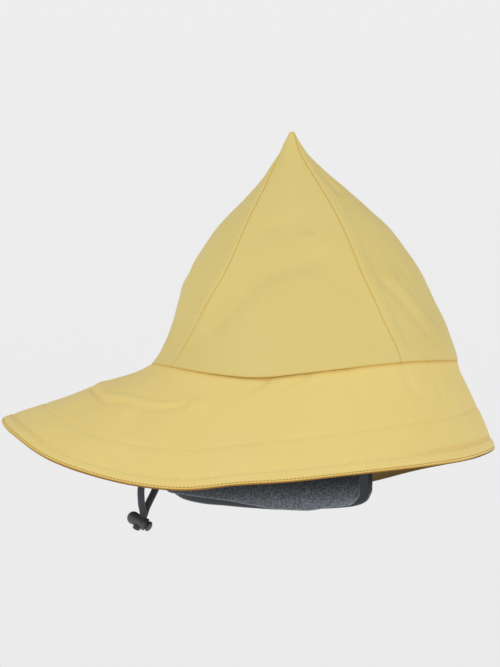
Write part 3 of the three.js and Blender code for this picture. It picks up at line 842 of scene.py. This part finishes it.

# %% [markdown]
# ## The crown's gores
# Where two gores are sewn, both are turned in, so a fine, deeper line runs down the seam, and painted shade
# along it and along the crown's lower edge warms the cloth's colour. Their allowances are pressed towards the
# front and the back gore and lift its cloth into a soft band about 6 mm wide. Small wrinkles lie across the
# cloth. Each gore is a grid of its own, crowded towards its seams so that the turn of the cloth comes out
# round. Its last rows close the point with a small dome, where the four gores' tips are sewn into one knot.

# %% The crown's gores
SEAM_GAP = 0.06
SEAM_TURN = 0.34
BAND_WIDTH = 6.2
BAND_HEIGHT = 0.75
GORE_ACROSS = 84
GORE_UP = 110
GORE_CROWDING = 0.75
TIP_CROWDING = 1.15
CAP_ROWS = np.radians([30, 58, 80, 89])
CAP_HEIGHT = 0.8 * TIP_RADIUS
TIP_WALL = 1.1
# Painted shade along each seam and along the crown's lower edge.
SEAM_PAINTED_SHADE, SEAM_PAINTED_SHADE_WIDTH = 0.24, 0.45
BASE_PAINTED_SHADE, BASE_PAINTED_SHADE_WIDTH = 0.2, 0.8
CROWN_CREASES = [
    (8.5, -2.6, [(-99, 0.45), (-86, 0.445), (-74, 0.41), (-63, 0.31), (-52, 0.2)]),
    (7.5, -1.9, [(-75, 0.6), (-88, 0.62), (-95, 0.6)]),
    (2.5, 0.9, [(-97, 0.545), (-99, 0.55)]),
    (2, -0.8, [(-102, 0.53), (-101, 0.56)]),
    (3.5, -1.6, [(-133, 0.87), (-138, 0.81), (-141, 0.74)]),
    (3, -1.1, [(-131, 0.34), (-140, 0.24), (-149, 0.12)]),
    (3, 0.9, [(-138, 0.35), (-147, 0.25), (-156, 0.15)]),
    (4, -0.6, [(-143, 0.45), (-158, 0.28), (-170, 0.2)]),
    (5, -0.9, [(-108, 0.36), (-116, 0.3)]),
    (5, -0.5, [(-44, 0.36), (-34, 0.24), (-20, 0.18)]),
    (6, -0.8, [(-10, 0.4), (12, 0.33), (30, 0.2)]),
    (6, -0.8, [(62, 0.24), (84, 0.3), (100, 0.22)]),
    (5, -0.6, [(80, 0.5), (96, 0.48)]),
    (4, -0.7, [(140, 0.36), (152, 0.2)]),
]


def seam_distance(turn, height, start, end):
    """Millimetres along the cloth to the gore's nearer seam."""
    radius = np.hypot(HEAD_WIDTH / 2 * crown_width(height) * np.sin(np.radians(turn)),
                      HEAD_DEPTH / 2 * crown_depth(height) * np.cos(np.radians(turn)))
    return np.radians(np.minimum(turn - start, end - turn)) * radius


def gore_place(start_of, end_of, across, up):
    """The height, the turn and the distance to the nearer seam of places on a gore's grid."""
    height = 1 - np.clip(1 - up, 0, 1) ** TIP_CROWDING
    start, end = start_of(height), end_of(height)
    rim = crown_point(start, height)
    rim[..., 1] -= APEX_LEAN * crown_lean(height)
    free = np.degrees(SEAM_GAP / 2 / np.hypot(rim[..., 0], rim[..., 1]))
    turn = blend(start + free, end - free, across)
    return height, turn, seam_distance(turn, height, start, end)


def gore_surface(start_of, end_of, inner, banded, seed):
    def surface(across, up):
        height, turn, from_seam = gore_place(start_of, end_of, across, up)
        cap = np.maximum(up - 1, 0)
        wall = blend(CROWN_WALL, TIP_WALL, smooth(height, 0.9, 1))
        from_base = height * CROWN_HEIGHT
        edge = np.minimum(rounding(from_seam, SEAM_TURN) + rounding(from_base, wall / 2), wall / 2)
        fade = smooth(height, 0.02, 0.06) * (1 - smooth(height, 0.86, 0.95))
        rise = smooth(from_seam, 0.5, 1.8) * (1 - smooth(from_seam, BAND_WIDTH * 0.8, BAND_WIDTH * 1.5))
        flat = plain_crown(turn, height)
        lumps = uneven(flat, 24, seed) * 0.8 + uneven(flat, 9, seed) * 0.2
        soft = lumps - crease_height(CROWN_CREASES, plain_crown, turn, height)
        soft = soft * smooth(from_seam, 0, 10) * fade
        if inner:
            depth = wall - edge * 0.9 + soft
        else:
            depth = edge + soft - BAND_HEIGHT * banded * rise * fade
        place = crown_point(turn, height, depth)
        middle = points(0, APEX_LEAN * crown_lean(height), place[..., 2])
        shrunk = middle + (place - middle) * np.cos(cap)[..., None]
        shrunk[..., 2] += np.sin(cap) * (CAP_HEIGHT - (wall if inner else 0))
        return shrunk

    return surface


def gore_fold(start_of, end_of):
    """Painted shade at a gore's seams, where the cloth turns in, and at its lower edge."""
    def fold(across, up):
        height, _, from_seam = gore_place(start_of, end_of, across, up)
        seam = SEAM_PAINTED_SHADE * peak(from_seam, 0, SEAM_PAINTED_SHADE_WIDTH)
        return seam + BASE_PAINTED_SHADE * peak(height * CROWN_HEIGHT, 0, BASE_PAINTED_SHADE_WIDTH)

    return fold


gore_across = crowded(GORE_ACROSS + 1, GORE_CROWDING)
gore_up = np.r_[0, 0.002, 0.0045, 0.008, 0.014, np.linspace(0.022, 1, GORE_UP - 4), 1 + CAP_ROWS]
GORES = {
    "front": (front_seam, lambda h: 360 - front_seam(h), 1),
    "back": (lambda h: -back_seam(h), back_seam, 1),
    "left": (back_seam, front_seam, 0),
    "right": (lambda h: -front_seam(h), lambda h: -back_seam(h), 0),
}
for seed, (side_name, (start_of, end_of, banded)) in enumerate(GORES.items()):
    gore = cloth_panel(
        "gore_" + side_name, cloth_plain,
        gore_surface(start_of, end_of, False, banded, seed),
        gore_surface(start_of, end_of, True, banded, seed),
        gore_across, gore_up, lining=cloth_back, folds=[gore_fold(start_of, end_of)] * 2)
    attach(gore, "hat")
    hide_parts(f"crown_{side_name}_gore")

# %% [markdown]
# ## The brim
# The brim is one ring of cloth, so its grid is closed round the head. Its hem is turned in and sewn down 8
# mm from the edge: the stitches pull a shallow groove, and the turned cloth swells below it. Further up,
# the facing inside shows through as a fine line that runs round the brim, and for a short stretch as two.
# At its top the cloth rises a little before it goes under the crown's edge, but on the near side the seam
# pinches it flat.

# %% The brim
BRIM_ACROSS = 480
FACING_LINE = 0.32
HEM_GROOVE = 0.5
HEM_SWELL = 0.35
EDGE_SEAM = 1.4
EDGE_GROOVE = 0.3
SECOND_LINE, SECOND_LINE_BELOW = 0.7, 2.5
SECOND_LINE_TURN, SECOND_LINE_ACROSS = -51, 14
FACING_STEP = 0.3
TUCK = 0.05
SEAM_LIFT, SEAM_LIFT_WIDTH = 1, 5
PINCH_TURN, PINCH_ACROSS = -78, 24
BRIM_CREASES = [
    (2.2, -1.7, [
        (-10, 0.412), (-17, 0.425), (-24, 0.442), (-28, 0.408), (-33, 0.377), (-39, 0.38), (-45, 0.36),
        (-52, 0.29)]),
    (2.6, 0.8, [(-12, 0.38), (-20, 0.395), (-28, 0.36), (-38, 0.335), (-45, 0.32)]),
    (6, -1, [(-38, 0.46), (-41, 0.56)]),
    (6, -1, [(-20, 0.56), (-24, 0.7)]),
    (8, 0.7, [(-48, 0.42), (-52, 0.72)]),
    (2, -0.7, [(-95, 0.02), (-86, 0.1)]),
    (2, -0.5, [(-104, 0.02), (-99, 0.12)]),
    (5, -0.7, [(-109, 0.04), (-112, 0.26), (-118, 0.45)]),
    (2, -0.5, [(-80, 0.02), (-77, 0.09)]),
    (7, -0.5, [(-66, 0.2), (-74, 0.5)]),
    (4, -0.6, [(-131, 0.05), (-134, 0.3)]),
    (4, -0.7, [(-146, 0.05), (-148, 0.4)]),
    (5, -0.6, [(-165, 0.1), (-162, 0.5)]),
    (8, -0.9, [(-6, 0.5), (-2, 0.8)]),
    (7, -0.9, [(28, 0.5), (36, 0.78)]),
    (6, -0.7, [(60, 0.1), (66, 0.5)]),
    (4, -0.6, [(92, 0.06), (86, 0.3)]),
    (6, -0.7, [(118, 0.06), (124, 0.5)]),
    (5, -0.6, [(150, 0.06), (146, 0.4)]),
]


def to_rim(turn, down):
    """Millimetres along the cloth to the brim's edge."""
    return (1 - down) * brim_length(turn)


def allowance(turn, down, depth):
    """The brim's seam allowance, which stands up inside the crown's wall, for shares below 0."""
    height = np.maximum(-down, 0) * brim_length(turn) / CROWN_HEIGHT
    return crown_point(turn, height, depth)


def brim_soft(turn, down):
    """How far creases and a soft unevenness lift the brim's cloth. They fade out towards the hem."""
    place = plain_brim(turn, down)
    lumps = uneven(place, 26, 7) * 0.8 + uneven(place, 10, 8) * 0.15
    crease = crease_height(BRIM_CREASES, plain_brim, turn, down)
    quiet = smooth(to_rim(turn, down), HEM_WIDTH, HEM_WIDTH + 12)
    return (lumps * smooth(down, 0, 0.15) + crease) * quiet


def brim_outer(turn, place_down):
    down = np.maximum(place_down, 0)
    from_edge = to_rim(turn, down)
    groove = HEM_GROOVE * peak(from_edge, HEM_WIDTH, 0.8) + EDGE_GROOVE * peak(from_edge, EDGE_SEAM, 0.35)
    swell = HEM_SWELL * smooth(HEM_WIDTH - from_edge, 0, 2) * smooth(from_edge, 1, 3)
    short = peak(turn, SECOND_LINE_TURN, SECOND_LINE_ACROSS)
    second = SECOND_LINE * short * peak(from_edge, FACING_WIDTH - SECOND_LINE_BELOW, 0.7)
    line = FACING_LINE * (peak(from_edge, FACING_WIDTH, 0.8) + second)
    step = FACING_STEP * smooth(FACING_WIDTH - from_edge, 0, 4) * smooth(from_edge, HEM_WIDTH, HEM_WIDTH + 6)
    lift = SEAM_LIFT * peak(down * brim_length(turn), 0, SEAM_LIFT_WIDTH)
    lift = lift * (1 - peak(turn, PINCH_TURN, PINCH_ACROSS))
    edge = rounding(from_edge, HEM_WALL / 2)
    cloth = brim_point(turn, down, groove + line + edge - swell - step - brim_soft(turn, down) - lift)
    return np.where((place_down < 0)[..., None], allowance(turn, place_down, CROWN_WALL + TUCK), cloth)


def brim_inner(turn, place_down):
    down = np.maximum(place_down, 0)
    from_edge = to_rim(turn, down)
    hem = blend(HEM_WALL, BRIM_WALL, smooth(from_edge, HEM_WIDTH * 0.8, HEM_WIDTH))
    edge = rounding(from_edge, HEM_WALL / 2)
    groove = EDGE_GROOVE * peak(from_edge, HEM_WIDTH, 0.7)
    soft = brim_soft(turn, down) * smooth(from_edge, FACING_WIDTH, FACING_WIDTH + 8)
    cloth = brim_point(turn, down, hem - edge - groove - soft)
    return np.where((place_down < 0)[..., None], allowance(turn, place_down, CROWN_WALL + BRIM_WALL), cloth)


# Shares of painted shade: under the crown's edge, above the hem at the brim's ends, and inside the hem.
BRIM_SEAM_PAINTED_SHADE, ABOVE_HEM_PAINTED_SHADE, HEM_BACK_PAINTED_SHADE = 0.32, 0.15, 0.7
GROOVE_PAINTED_SHADES = (0.3, 0.15)
RIM_PAINTED_SHADES = (0.95, 0.5)
BRIM_TOP = np.r_[-5, -3, -1.5, -0.6, 0, 0.3, 0.8, 1.5, 2.4]
BRIM_MIDDLE = np.linspace(0, 1, 44)[1:-1]
BRIM_HEM = np.r_[
    0, 0.12, 0.35, 0.7, 1.1, 1.5, 1.9, 2.15, 2.5, 3, 4, 5, 6, 6.7, 7.3, 7.7, 8, 8.3, 8.7, 9.3, 10.2, 11.5,
    13.5, 16, 19, 22, 24, 25.2, 25.9, 26.5, 27.1, 27.8, 28.2, 28.6, 29, 29.4, 29.8, 30.4, 31.5, 33.5][::-1]


def brim_down(turn, row):
    """The share of the way down at a numbered row. The rows are close together at the seam, the facing's line
    and the hem, and each turn's own length is worked with."""
    length = brim_length(turn)
    k = np.rint(row).astype(int)
    hem_start = len(BRIM_TOP) + len(BRIM_MIDDLE)
    top = BRIM_TOP[np.minimum(k, len(BRIM_TOP) - 1)] / length
    hem = 1 - BRIM_HEM[np.maximum(k - hem_start, 0)] / length
    between = BRIM_MIDDLE[np.clip(k - len(BRIM_TOP), 0, len(BRIM_MIDDLE) - 1)]
    middle = blend(BRIM_TOP[-1] / length, 1 - BRIM_HEM[0] / length, between)
    return np.where(k < len(BRIM_TOP), top, np.where(k < hem_start, middle, hem))


def brim_fold(turn, row):
    """Painted shade on the outside: under the crown's edge, in the rim's groove and on the rim, where the
    cloth turns in. The rim and its groove get the most painted shade along the sides of the head, and the
    cloth above the hem gets some at the brim's front and back ends."""
    down = brim_down(turn, row)
    rim = to_rim(turn, down)
    ends = 1 - smooth(abs(turn), 12, 40) + smooth(abs(turn), 112, 150)
    seam = BRIM_SEAM_PAINTED_SHADE * peak(down * brim_length(turn), 0, 1.5)
    hem = ABOVE_HEM_PAINTED_SHADE * ends * peak(rim, HEM_WIDTH + 0.6, 1.3)
    groove = blend(*GROOVE_PAINTED_SHADES, ends) * peak(rim, EDGE_SEAM, 0.4)
    return seam + hem + groove + blend(*RIM_PAINTED_SHADES, ends) * (1 - smooth(rim, 0.1, 0.75))


def hem_fold(turn, row):
    """Painted shade inside the hem, where the cloth is turned in on itself."""
    return HEM_BACK_PAINTED_SHADE * (1 - smooth(to_rim(turn, brim_down(turn, row)), 2, HEM_WIDTH))


rows = np.arange(len(BRIM_TOP) + len(BRIM_MIDDLE) + len(BRIM_HEM), dtype=float)
around = np.linspace(-180, 180, BRIM_ACROSS + 1)
brim = cloth_panel(
    "brim_cloth", cloth_hemmed,
    lambda turn, row: brim_outer(turn, brim_down(turn, row)),
    lambda turn, row: brim_inner(turn, brim_down(turn, row)),
    around, rows, close=True, lining=cloth_back, folds=(brim_fold, hem_fold))
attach(brim, "hat")
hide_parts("brim")

# %% [markdown]
# The facing is a second strip of the same cloth inside the brim, with the cloth's reverse side out. It
# shows on the underside, where its upper edge is a plain turned edge.

# %% The brim's facing
FACING_ROWS = np.r_[FACING_WIDTH, 28.8, 28.5, 28, 27, 24, 20, 16, 12, 10, 9.2, 8.8, 8.5, HEM_WIDTH + GAP]


def facing_surface(depth, inner):
    def surface(turn, from_edge):
        edge = rounding(np.minimum(FACING_WIDTH - from_edge, from_edge - HEM_WIDTH - GAP), FACING_WALL / 2)
        return brim_point(turn, 1 - from_edge / brim_length(turn), depth + (-edge if inner else edge))

    return surface


facing = cloth_panel(
    "facing_cloth", cloth_back,
    facing_surface(BRIM_WALL + GAP, False), facing_surface(BRIM_WALL + GAP + FACING_WALL, True),
    np.linspace(-180, 180, 217), FACING_ROWS, close=True)
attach(facing, "hat")
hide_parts("brim_facing")

# %% [markdown]
# ## Stitches
# The hem is topstitched with thread a little paler than the cloth, and a second row closes the rim itself.
# That one lies in the shade of its groove, so its thread is drawn darker than it is. Each stitch is a short
# round bar of a few faces, laid on the cloth in the groove that it pulls.

# %% Stitches
THREAD = 0.46
THREAD_FLATNESS = 0.7
STITCH_SHARE = 0.78


def lay_stitches(bm, places, outwards):
    """Adds one stitch between each two places, sunk by half its thickness."""
    for a, b, out in zip(places, places[1:], outwards):
        a, b, out = Vector(a), Vector(b), Vector(out)
        along = (b - a).normalized()
        across = out.cross(along).normalized()
        half = (b - a).length / 2 * STITCH_SHARE
        turn = Matrix((along, across, along.cross(across))).transposed().to_4x4()
        size = Matrix.Diagonal((half * MM, THREAD * MM, THREAD * THREAD_FLATNESS * MM, 1))
        place = Matrix.Translation((a + b) / 2 * MM)
        bmesh.ops.create_icosphere(bm, subdivisions=1, radius=1, matrix=place @ turn @ size)


def stitch_row(bm, from_edge, depth, pitch):
    """Stitches all round the brim at one distance from its edge."""
    fine = np.linspace(-180, 180, 2881)
    line = brim_outer(fine, 1 - from_edge / brim_length(fine))
    run = run_of(line)
    count = round(run[-1] / pitch)
    turns = np.interp(np.linspace(0, run[-1], count + 1), run, fine)
    down = 1 - from_edge / brim_length(turns)
    out = normal_of(plain_brim, turns, down)
    lay_stitches(bm, brim_outer(turns, down) - out * depth, out)
    return count


ROWS = {
    "hem": {"from_edge": HEM_WIDTH, "sunk": 0, "pitch": STITCH_PITCH, "tone": "ecdc9e"},
    "rim": {"from_edge": EDGE_SEAM, "sunk": 0.1, "pitch": STITCH_PITCH * 0.9, "tone": "7c5a28"},
}
for row_name, row in ROWS.items():
    thread, _, thread_shader = new_material("polyester_sewing_thread_" + row_name)
    feed(thread_shader, {"Base Color": linear(row["tone"]), "Roughness": 0.55})
    bm = bmesh.new()
    count = stitch_row(bm, row["from_edge"], row["sunk"], row["pitch"])
    stitches = finish_mesh(bm, row_name + "_stitches", thread)
    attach(stitches, "hat")
    print(count, row_name, "stitches")

# %% [markdown]
# ## Ear flaps and nape band
# Each flap is one cut piece of fleece that hangs from the seam and follows the side of the head. The nape
# band runs between them with the cord's tunnel along its lower edge. Fleece has no crisp edge, so the rims
# are fully rounded, and the mesh is fine enough to lift the nap into tufts. The brushed face rolls round
# the flap's front and lower rims and ends a few millimetres inside, where the plain knitted back begins.
# The left flap's tail swings a little to the back, so that its edge shows behind the near flap's.

# %% Ear flaps and nape band
FLAP_RISE = 1
FLAP_FRONT_TURN = 116
FLAP_BACK_TURN = 28
TUNNEL_HEIGHT = 8
TUNNEL_WALL = 6.6
NAP_HEIGHT = 0.35
BACK_NAP = 0.3
NAPE_NAP = 0.7
flap_edges = {
    "right": table("along drop", [
        (0, 0.9), (0.025, 0.945), (0.05, 0.965), (0.1, 0.973), (0.16, 0.983), (0.23, 0.999), (0.28, 0.998),
        (0.34, 0.994), (0.39, 0.988), (0.43, 0.98), (0.5, 0.962), (0.6, 0.936), (0.86, 0.8965), (0.96, 0.883),
        (1, 0.86)]),
    "left": table("along drop", [
        (0, 0.885), (0.025, 0.95), (0.075, 0.985), (0.16, 1.002), (0.3, 1.012), (0.45, 1.016), (0.6, 1.002),
        (0.72, 0.986), (0.82, 0.972), (0.92, 0.935), (1, 0.87)]),
}
TAIL_TURN = {"right": 0, "left": 5}
FRONT_ROLL = 4
BOTTOM_ROLL = 1.2


def nap(places, seed):
    """The tufts' height, from two sizes of noise."""
    return NAP_HEIGHT * (uneven(places, 1.5, seed) * 0.7 + uneven(places, 4, seed + 3) * 0.5)


def flap_surface(side_sign, drop, inner, seed, tail):
    def surface(along, down):
        turn = blend(FLAP_FRONT_TURN, FLAP_BACK_TURN, along)
        top = seam_level(turn) + FLAP_RISE
        bottom = -FLAP_DROP * drop(along)
        z = blend(top, bottom, down)
        turn = turn - tail * smooth(-z, NAPE_DROP + 2, NAPE_DROP + 14) * smooth(along, 0.75, 1)
        ends = np.minimum(along, 1 - along) * np.radians(FLAP_FRONT_TURN - FLAP_BACK_TURN) * HEAD_WIDTH / 2
        edge = np.minimum(rounding(ends, FLEECE / 2) + rounding(z - bottom, FLEECE / 2), FLEECE / 2)
        depth = FLEECE - edge if inner else edge
        tufts = nap(fleece_point(side_sign * turn, z, depth), seed) * smooth(top - z, 0.5, 3)
        return fleece_point(side_sign * turn, z, depth + (tufts * BACK_NAP if inner else -tufts))

    return surface


flap_along = np.unique(np.r_[crowded(171, 0.35), 0.002, 0.005, 0.01, 0.99, 0.995, 0.998])
flap_down = np.unique(np.r_[np.linspace(0, 1, 66) ** 0.75, 0.985, 0.993, 0.998])
for seed, (side_name, side_sign) in enumerate((("right", -1), ("left", 1))):
    drop = column_of(flap_edges[side_name], "along", "drop")
    flap = cloth_panel(
        "fleece_flap_" + side_name, fleece,
        flap_surface(side_sign, drop, False, seed, TAIL_TURN[side_name]),
        flap_surface(side_sign, drop, True, seed + 10, TAIL_TURN[side_name]),
        flap_along, flap_down, lining=fleece_back)
    uv = flap.data.uv_layers.active.data
    for polygon in flap.data.polygons:
        along, above = uv[polygon.loop_start].uv
        if along < FRONT_ROLL * MM or above < BOTTOM_ROLL * MM:
            polygon.material_index = 0
    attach(flap, "hat")
    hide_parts("ear_flap_" + side_name)

NAPE_TURN = FLAP_BACK_TURN - math.degrees(GAP / (HEAD_WIDTH / 2))


def nape_surface(inner):
    def surface(along, down):
        turn = blend(-NAPE_TURN, NAPE_TURN, along)
        z = blend(seam_level(turn) + FLAP_RISE, -NAPE_DROP, down)
        above = z + NAPE_DROP
        stitched = blend(TUNNEL_WALL, FLEECE, smooth(above, TUNNEL_HEIGHT * 0.7, TUNNEL_HEIGHT))
        round_tube = np.sqrt(np.clip(1 - ((above - TUNNEL_HEIGHT / 2) / (TUNNEL_HEIGHT / 2)) ** 2, 0, 1))
        thick = np.where(above < TUNNEL_HEIGHT, np.maximum(FLEECE * 0.8, stitched * round_tube), FLEECE)
        ends = np.minimum(along, 1 - along) * np.radians(2 * NAPE_TURN) * HEAD_DEPTH / 2
        edge = np.minimum(rounding(ends, FLEECE / 2) + rounding(above, FLEECE * 0.4), FLEECE / 2)
        half = (thick / 2 - edge) * (-1 if inner else 1)
        tufts = NAPE_NAP * nap(fleece_point(turn, z, 0), 21 if inner else 20)
        return fleece_point(turn, z, FLEECE / 2 - half + (tufts if inner else -tufts))

    return surface


nape_down = np.unique(np.r_[np.linspace(0, 1, 46), 0.885, 0.9, 0.97, 0.985, 0.993, 0.998])
nape = cloth_panel(
    "fleece_nape_band", fleece, nape_surface(False), nape_surface(True), crowded(111, 0.3), nape_down,
    lining=fleece_back)
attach(nape, "hat")
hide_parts("nape_band")

# %% [markdown]
# ## The cord lock
# The lock is an oval barrel with a domed end. A spring button slides into the collar at its other end, and
# two slots across it hold the strands. A spin of the profile gives the barrel, a pair of cutters opens the
# slots, and a small bevel catches the light on every moulded edge. The button has fine grip ribs round its
# cap. Each profile is a row of places along the axis and out from it: the round parts are written as shares
# of the piece's length and radius.

# %% The cord lock
BARREL_LENGTH = 12
BARREL_RADIUS = 4.15
OVAL = 1.5
BORE_RADIUS = 2.2
STEM_RADIUS = 2
MOUTH_RADIUS = 2.9
MOUTH_DEPTH = 0.6
SHOULDER_RADIUS = 2.75
COLLAR_HEIGHT = 1.35
STEM_LENGTH = 3
BUTTON_RADIUS = 3.4
BUTTON_CAP = 3.1
BUTTON_TRAVEL = 1.6
LATHE_STEPS = 72
MOULDED_EDGE = 0.22
COLLAR_EDGE = 0.25
BEVEL_ANGLE = math.radians(40)
BARREL_SHARPNESS = math.radians(35)
BUTTON_SHARPNESS = math.radians(40)
BARREL_PROFILE = [
    (0, 0), (0.02, 0.32), (0.06, 0.56), (0.11, 0.74), (0.17, 0.87), (0.25, 0.97), (0.33, 1), (0.41, 0.985),
    (0.47, 0.95), (0.94, 0.96),
]
CAP_PROFILE = [
    (0, 0.82), (0.05, 0.9), (0.15, 0.97), (0.3, 1), (0.45, 0.985), (0.6, 0.93), (0.75, 0.8), (0.88, 0.6),
    (0.96, 0.35), (1, 0),
]


def turned(profile):
    """A bmesh of a profile, in (along, radius) pairs, spun round the lock's own axis and made oval."""
    bm = bmesh.new()
    verts = [bm.verts.new((radius, along, 0)) for along, radius in profile]
    edges = [bm.edges.new(pair) for pair in zip(verts, verts[1:])]
    bmesh.ops.spin(
        bm, geom=verts + edges, cent=(0, 0, 0), axis=(0, 1, 0), angle=2 * math.pi, steps=LATHE_STEPS,
        use_merge=True, use_duplicate=False)
    bmesh.ops.remove_doubles(bm, verts=bm.verts[:], dist=1e-4)
    bmesh.ops.recalc_face_normals(bm, faces=bm.faces[:])
    bmesh.ops.scale(bm, vec=(OVAL, 1, 1), verts=bm.verts[:])
    return bm


def into_place(bm):
    """Moves what was made in the lock's own millimetres to its place in the hat."""
    bmesh.ops.transform(bm, matrix=Matrix.Scale(MM, 4) @ lock_turn, verts=bm.verts[:])


def with_modifiers(piece):
    """Applies a piece's modifiers to its mesh."""
    depsgraph = bpy.context.evaluated_depsgraph_get()
    mesh = bpy.data.meshes.new_from_object(piece.evaluated_get(depsgraph))
    piece.modifiers.clear()
    old = piece.data
    piece.data = mesh
    bpy.data.meshes.remove(old)


def scaled(shares, start, length, radius):
    """A profile in millimetres, from one in shares of a length and a radius."""
    return [(start + along * length, out * radius) for along, out in shares]


collar_end = BARREL_LENGTH + COLLAR_HEIGHT
collar_bore = BUTTON_RADIUS + GAP / 2
bore_floor = BARREL_LENGTH - STEM_LENGTH - BUTTON_TRAVEL - GAP
barrel_bm = turned(scaled(BARREL_PROFILE, 0, BARREL_LENGTH, BARREL_RADIUS) + [
    (collar_end - COLLAR_EDGE, 0.99 * BARREL_RADIUS), (collar_end, 0.95 * BARREL_RADIUS),
    (collar_end, collar_bore), (BARREL_LENGTH, collar_bore), (BARREL_LENGTH, MOUTH_RADIUS),
    (BARREL_LENGTH - MOUTH_DEPTH, MOUTH_RADIUS), (BARREL_LENGTH - MOUTH_DEPTH, BORE_RADIUS),
    (bore_floor, BORE_RADIUS), (bore_floor, 0),
])
into_place(barrel_bm)
barrel = finish_mesh(barrel_bm, "lock_barrel", acetal, BARREL_SHARPNESS)

# The block between a slot's two round ends is a touch smaller than they are, because faces that lie exactly
# in each other upset the cut.
A_TOUCH_SMALLER = 0.999
slot_radius = CORD_DIAMETER / 2 + GAP / 3
block = Matrix.Diagonal((
    CORD_SPACING, 2 * slot_radius * A_TOUCH_SMALLER, BARREL_RADIUS * A_TOUCH_SMALLER, 1))
cutters = []
for slot_name, level in (("below", CORD_SEAT), ("above", -CORD_SEAT - BARREL_RADIUS)):
    bm = bmesh.new()
    middle = Matrix.Translation((0, CORD_ALONG_BARREL, level + BARREL_RADIUS / 2))
    for x in (-CORD_SPACING / 2, CORD_SPACING / 2):
        bmesh.ops.create_cone(
            bm, cap_ends=True, cap_tris=False, segments=32, radius1=slot_radius, radius2=slot_radius,
            depth=BARREL_RADIUS, matrix=Matrix.Translation((x, 0, 0)) @ middle)
    bmesh.ops.create_cube(bm, size=1, matrix=middle @ block)
    into_place(bm)
    bmesh.ops.recalc_face_normals(bm, faces=bm.faces[:])
    cutters.append(finish_mesh(bm, "slot_cutter_" + slot_name, acetal))
    cut = barrel.modifiers.new("slot", "BOOLEAN")
    cut.object = cutters[-1]
    cut.operation = "DIFFERENCE"
    cut.use_self = True
soften = barrel.modifiers.new("moulded_edges", "BEVEL")
soften.width = MOULDED_EDGE * MM
soften.segments = 3
soften.limit_method = "ANGLE"
soften.angle_limit = BEVEL_ANGLE
with_modifiers(barrel)
for cutter in cutters:
    bpy.data.objects.remove(cutter)
barrel.data.set_sharp_from_angle(angle=BARREL_SHARPNESS)
print("barrel", len(barrel.data.polygons), "faces")

RIBS = 24
RIB_DEPTH = 0.22
RIBBED_RADIUS = 0.7 * BUTTON_RADIUS
cap_start = BARREL_LENGTH + BUTTON_TRAVEL + GAP
shoulder = cap_start - MOUTH_DEPTH - GAP / 2
button_bm = turned([
    (BARREL_LENGTH - STEM_LENGTH, 0), (BARREL_LENGTH - STEM_LENGTH, STEM_RADIUS), (shoulder, STEM_RADIUS),
    (shoulder, SHOULDER_RADIUS), (cap_start, SHOULDER_RADIUS),
] + scaled(CAP_PROFILE, cap_start, BUTTON_CAP, BUTTON_RADIUS))
for vert in button_bm.verts:
    x, y, z = vert.co.x / OVAL, vert.co.y, vert.co.z
    radius = math.hypot(x, z)
    if y >= cap_start and radius > RIBBED_RADIUS:
        rib = RIB_DEPTH * (0.5 + 0.5 * math.cos(RIBS * math.atan2(z, x)))
        vert.co = (vert.co.x * (1 - rib / radius), y, z * (1 - rib / radius))
into_place(button_bm)
button = finish_mesh(button_bm, "lock_button", acetal, BUTTON_SHARPNESS)

LOCK_PIECES = ((barrel, "cord_lock_barrel", "hat"), (button, "cord_lock_button", "lock_button"))
for piece, node_name, body in LOCK_PIECES:
    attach(piece, body)
    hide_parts(node_name)

# %% [markdown]
# ## Floor and light
# The hat is shown as worn, held up where the head would be, over a plain pale floor well below it. The
# light is a pale surround, two large soft lamps to the left and right of the camera and a weak one
# overhead, which leave almost no shadow. The floor gives off a little light of its own, so that it stays as
# pale as the surround.

# %% Floor and light
PALE = "f2f2f2"
FLOOR_LEVEL = -1.1
FLOOR_RADIUS = 9

floor_bm = bmesh.new()
bmesh.ops.create_circle(
    floor_bm, cap_ends=True, radius=FLOOR_RADIUS, segments=96, matrix=Matrix.Translation((0, 0, FLOOR_LEVEL)))
paper, _, paper_shader = new_material("matt_backdrop_paper")
feed(paper_shader, {
    "Base Color": linear(PALE), "Roughness": 0.9, "Emission Color": linear(PALE), "Emission Strength": 0.3})
floor = finish_mesh(floor_bm, "floor", paper)

world = bpy.data.worlds.new("studio")
bpy.context.scene.world = world
world.use_nodes = True
SKY = [(-1, 0.1), (-0.4, 0.25), (-0.1, 0.82), (0.13, 0.855), (0.5, 0.42), (1, 0.5)]
sky_tree = world.node_tree
sky_place = add_node(sky_tree, "ShaderNodeTexCoord")
heading_parts = add_node(sky_tree, "ShaderNodeSeparateXYZ", {"Vector": sky_place.outputs["Generated"]})
sky_share = add_node(sky_tree, "ShaderNodeMapRange", {
    "Value": heading_parts.outputs["Z"], "From Min": -1, "From Max": 1})
sky = add_node(sky_tree, "ShaderNodeValToRGB", {"Fac": sky_share.outputs["Result"]})
fill_ramp(sky, [((level + 1) / 2, (grey, grey, grey, 1)) for level, grey in SKY])
feed(sky_tree.nodes["Background"], {"Color": sky.outputs["Color"]})
bpy.context.scene.view_settings.view_transform = "Standard"

LAMPS = [
    {"name": "soft_left", "at": (-1.5, 1.4, 0.85), "size": 1.2, "watts": 13},
    {"name": "soft_right", "at": (-1.2, -1.8, 0.5), "size": 1.2, "watts": 13},
    {"name": "soft_top", "at": (-0.3, 0.3, 1.6), "size": 0.8, "watts": 2.6},
]
for lamp in LAMPS:
    data = bpy.data.lights.new(lamp["name"], "AREA")
    data.shape = "DISK"
    data.size = lamp["size"]
    data.energy = lamp["watts"]
    light = bpy.data.objects.new(lamp["name"], data)
    bpy.context.scene.collection.objects.link(light)
    light.location = lamp["at"]
    light.rotation_euler = (Vector(lamp["at"]) - TARGET).to_track_quat("Z", "Y").to_euler()
print("lamps:", [lamp["name"] for lamp in LAMPS])
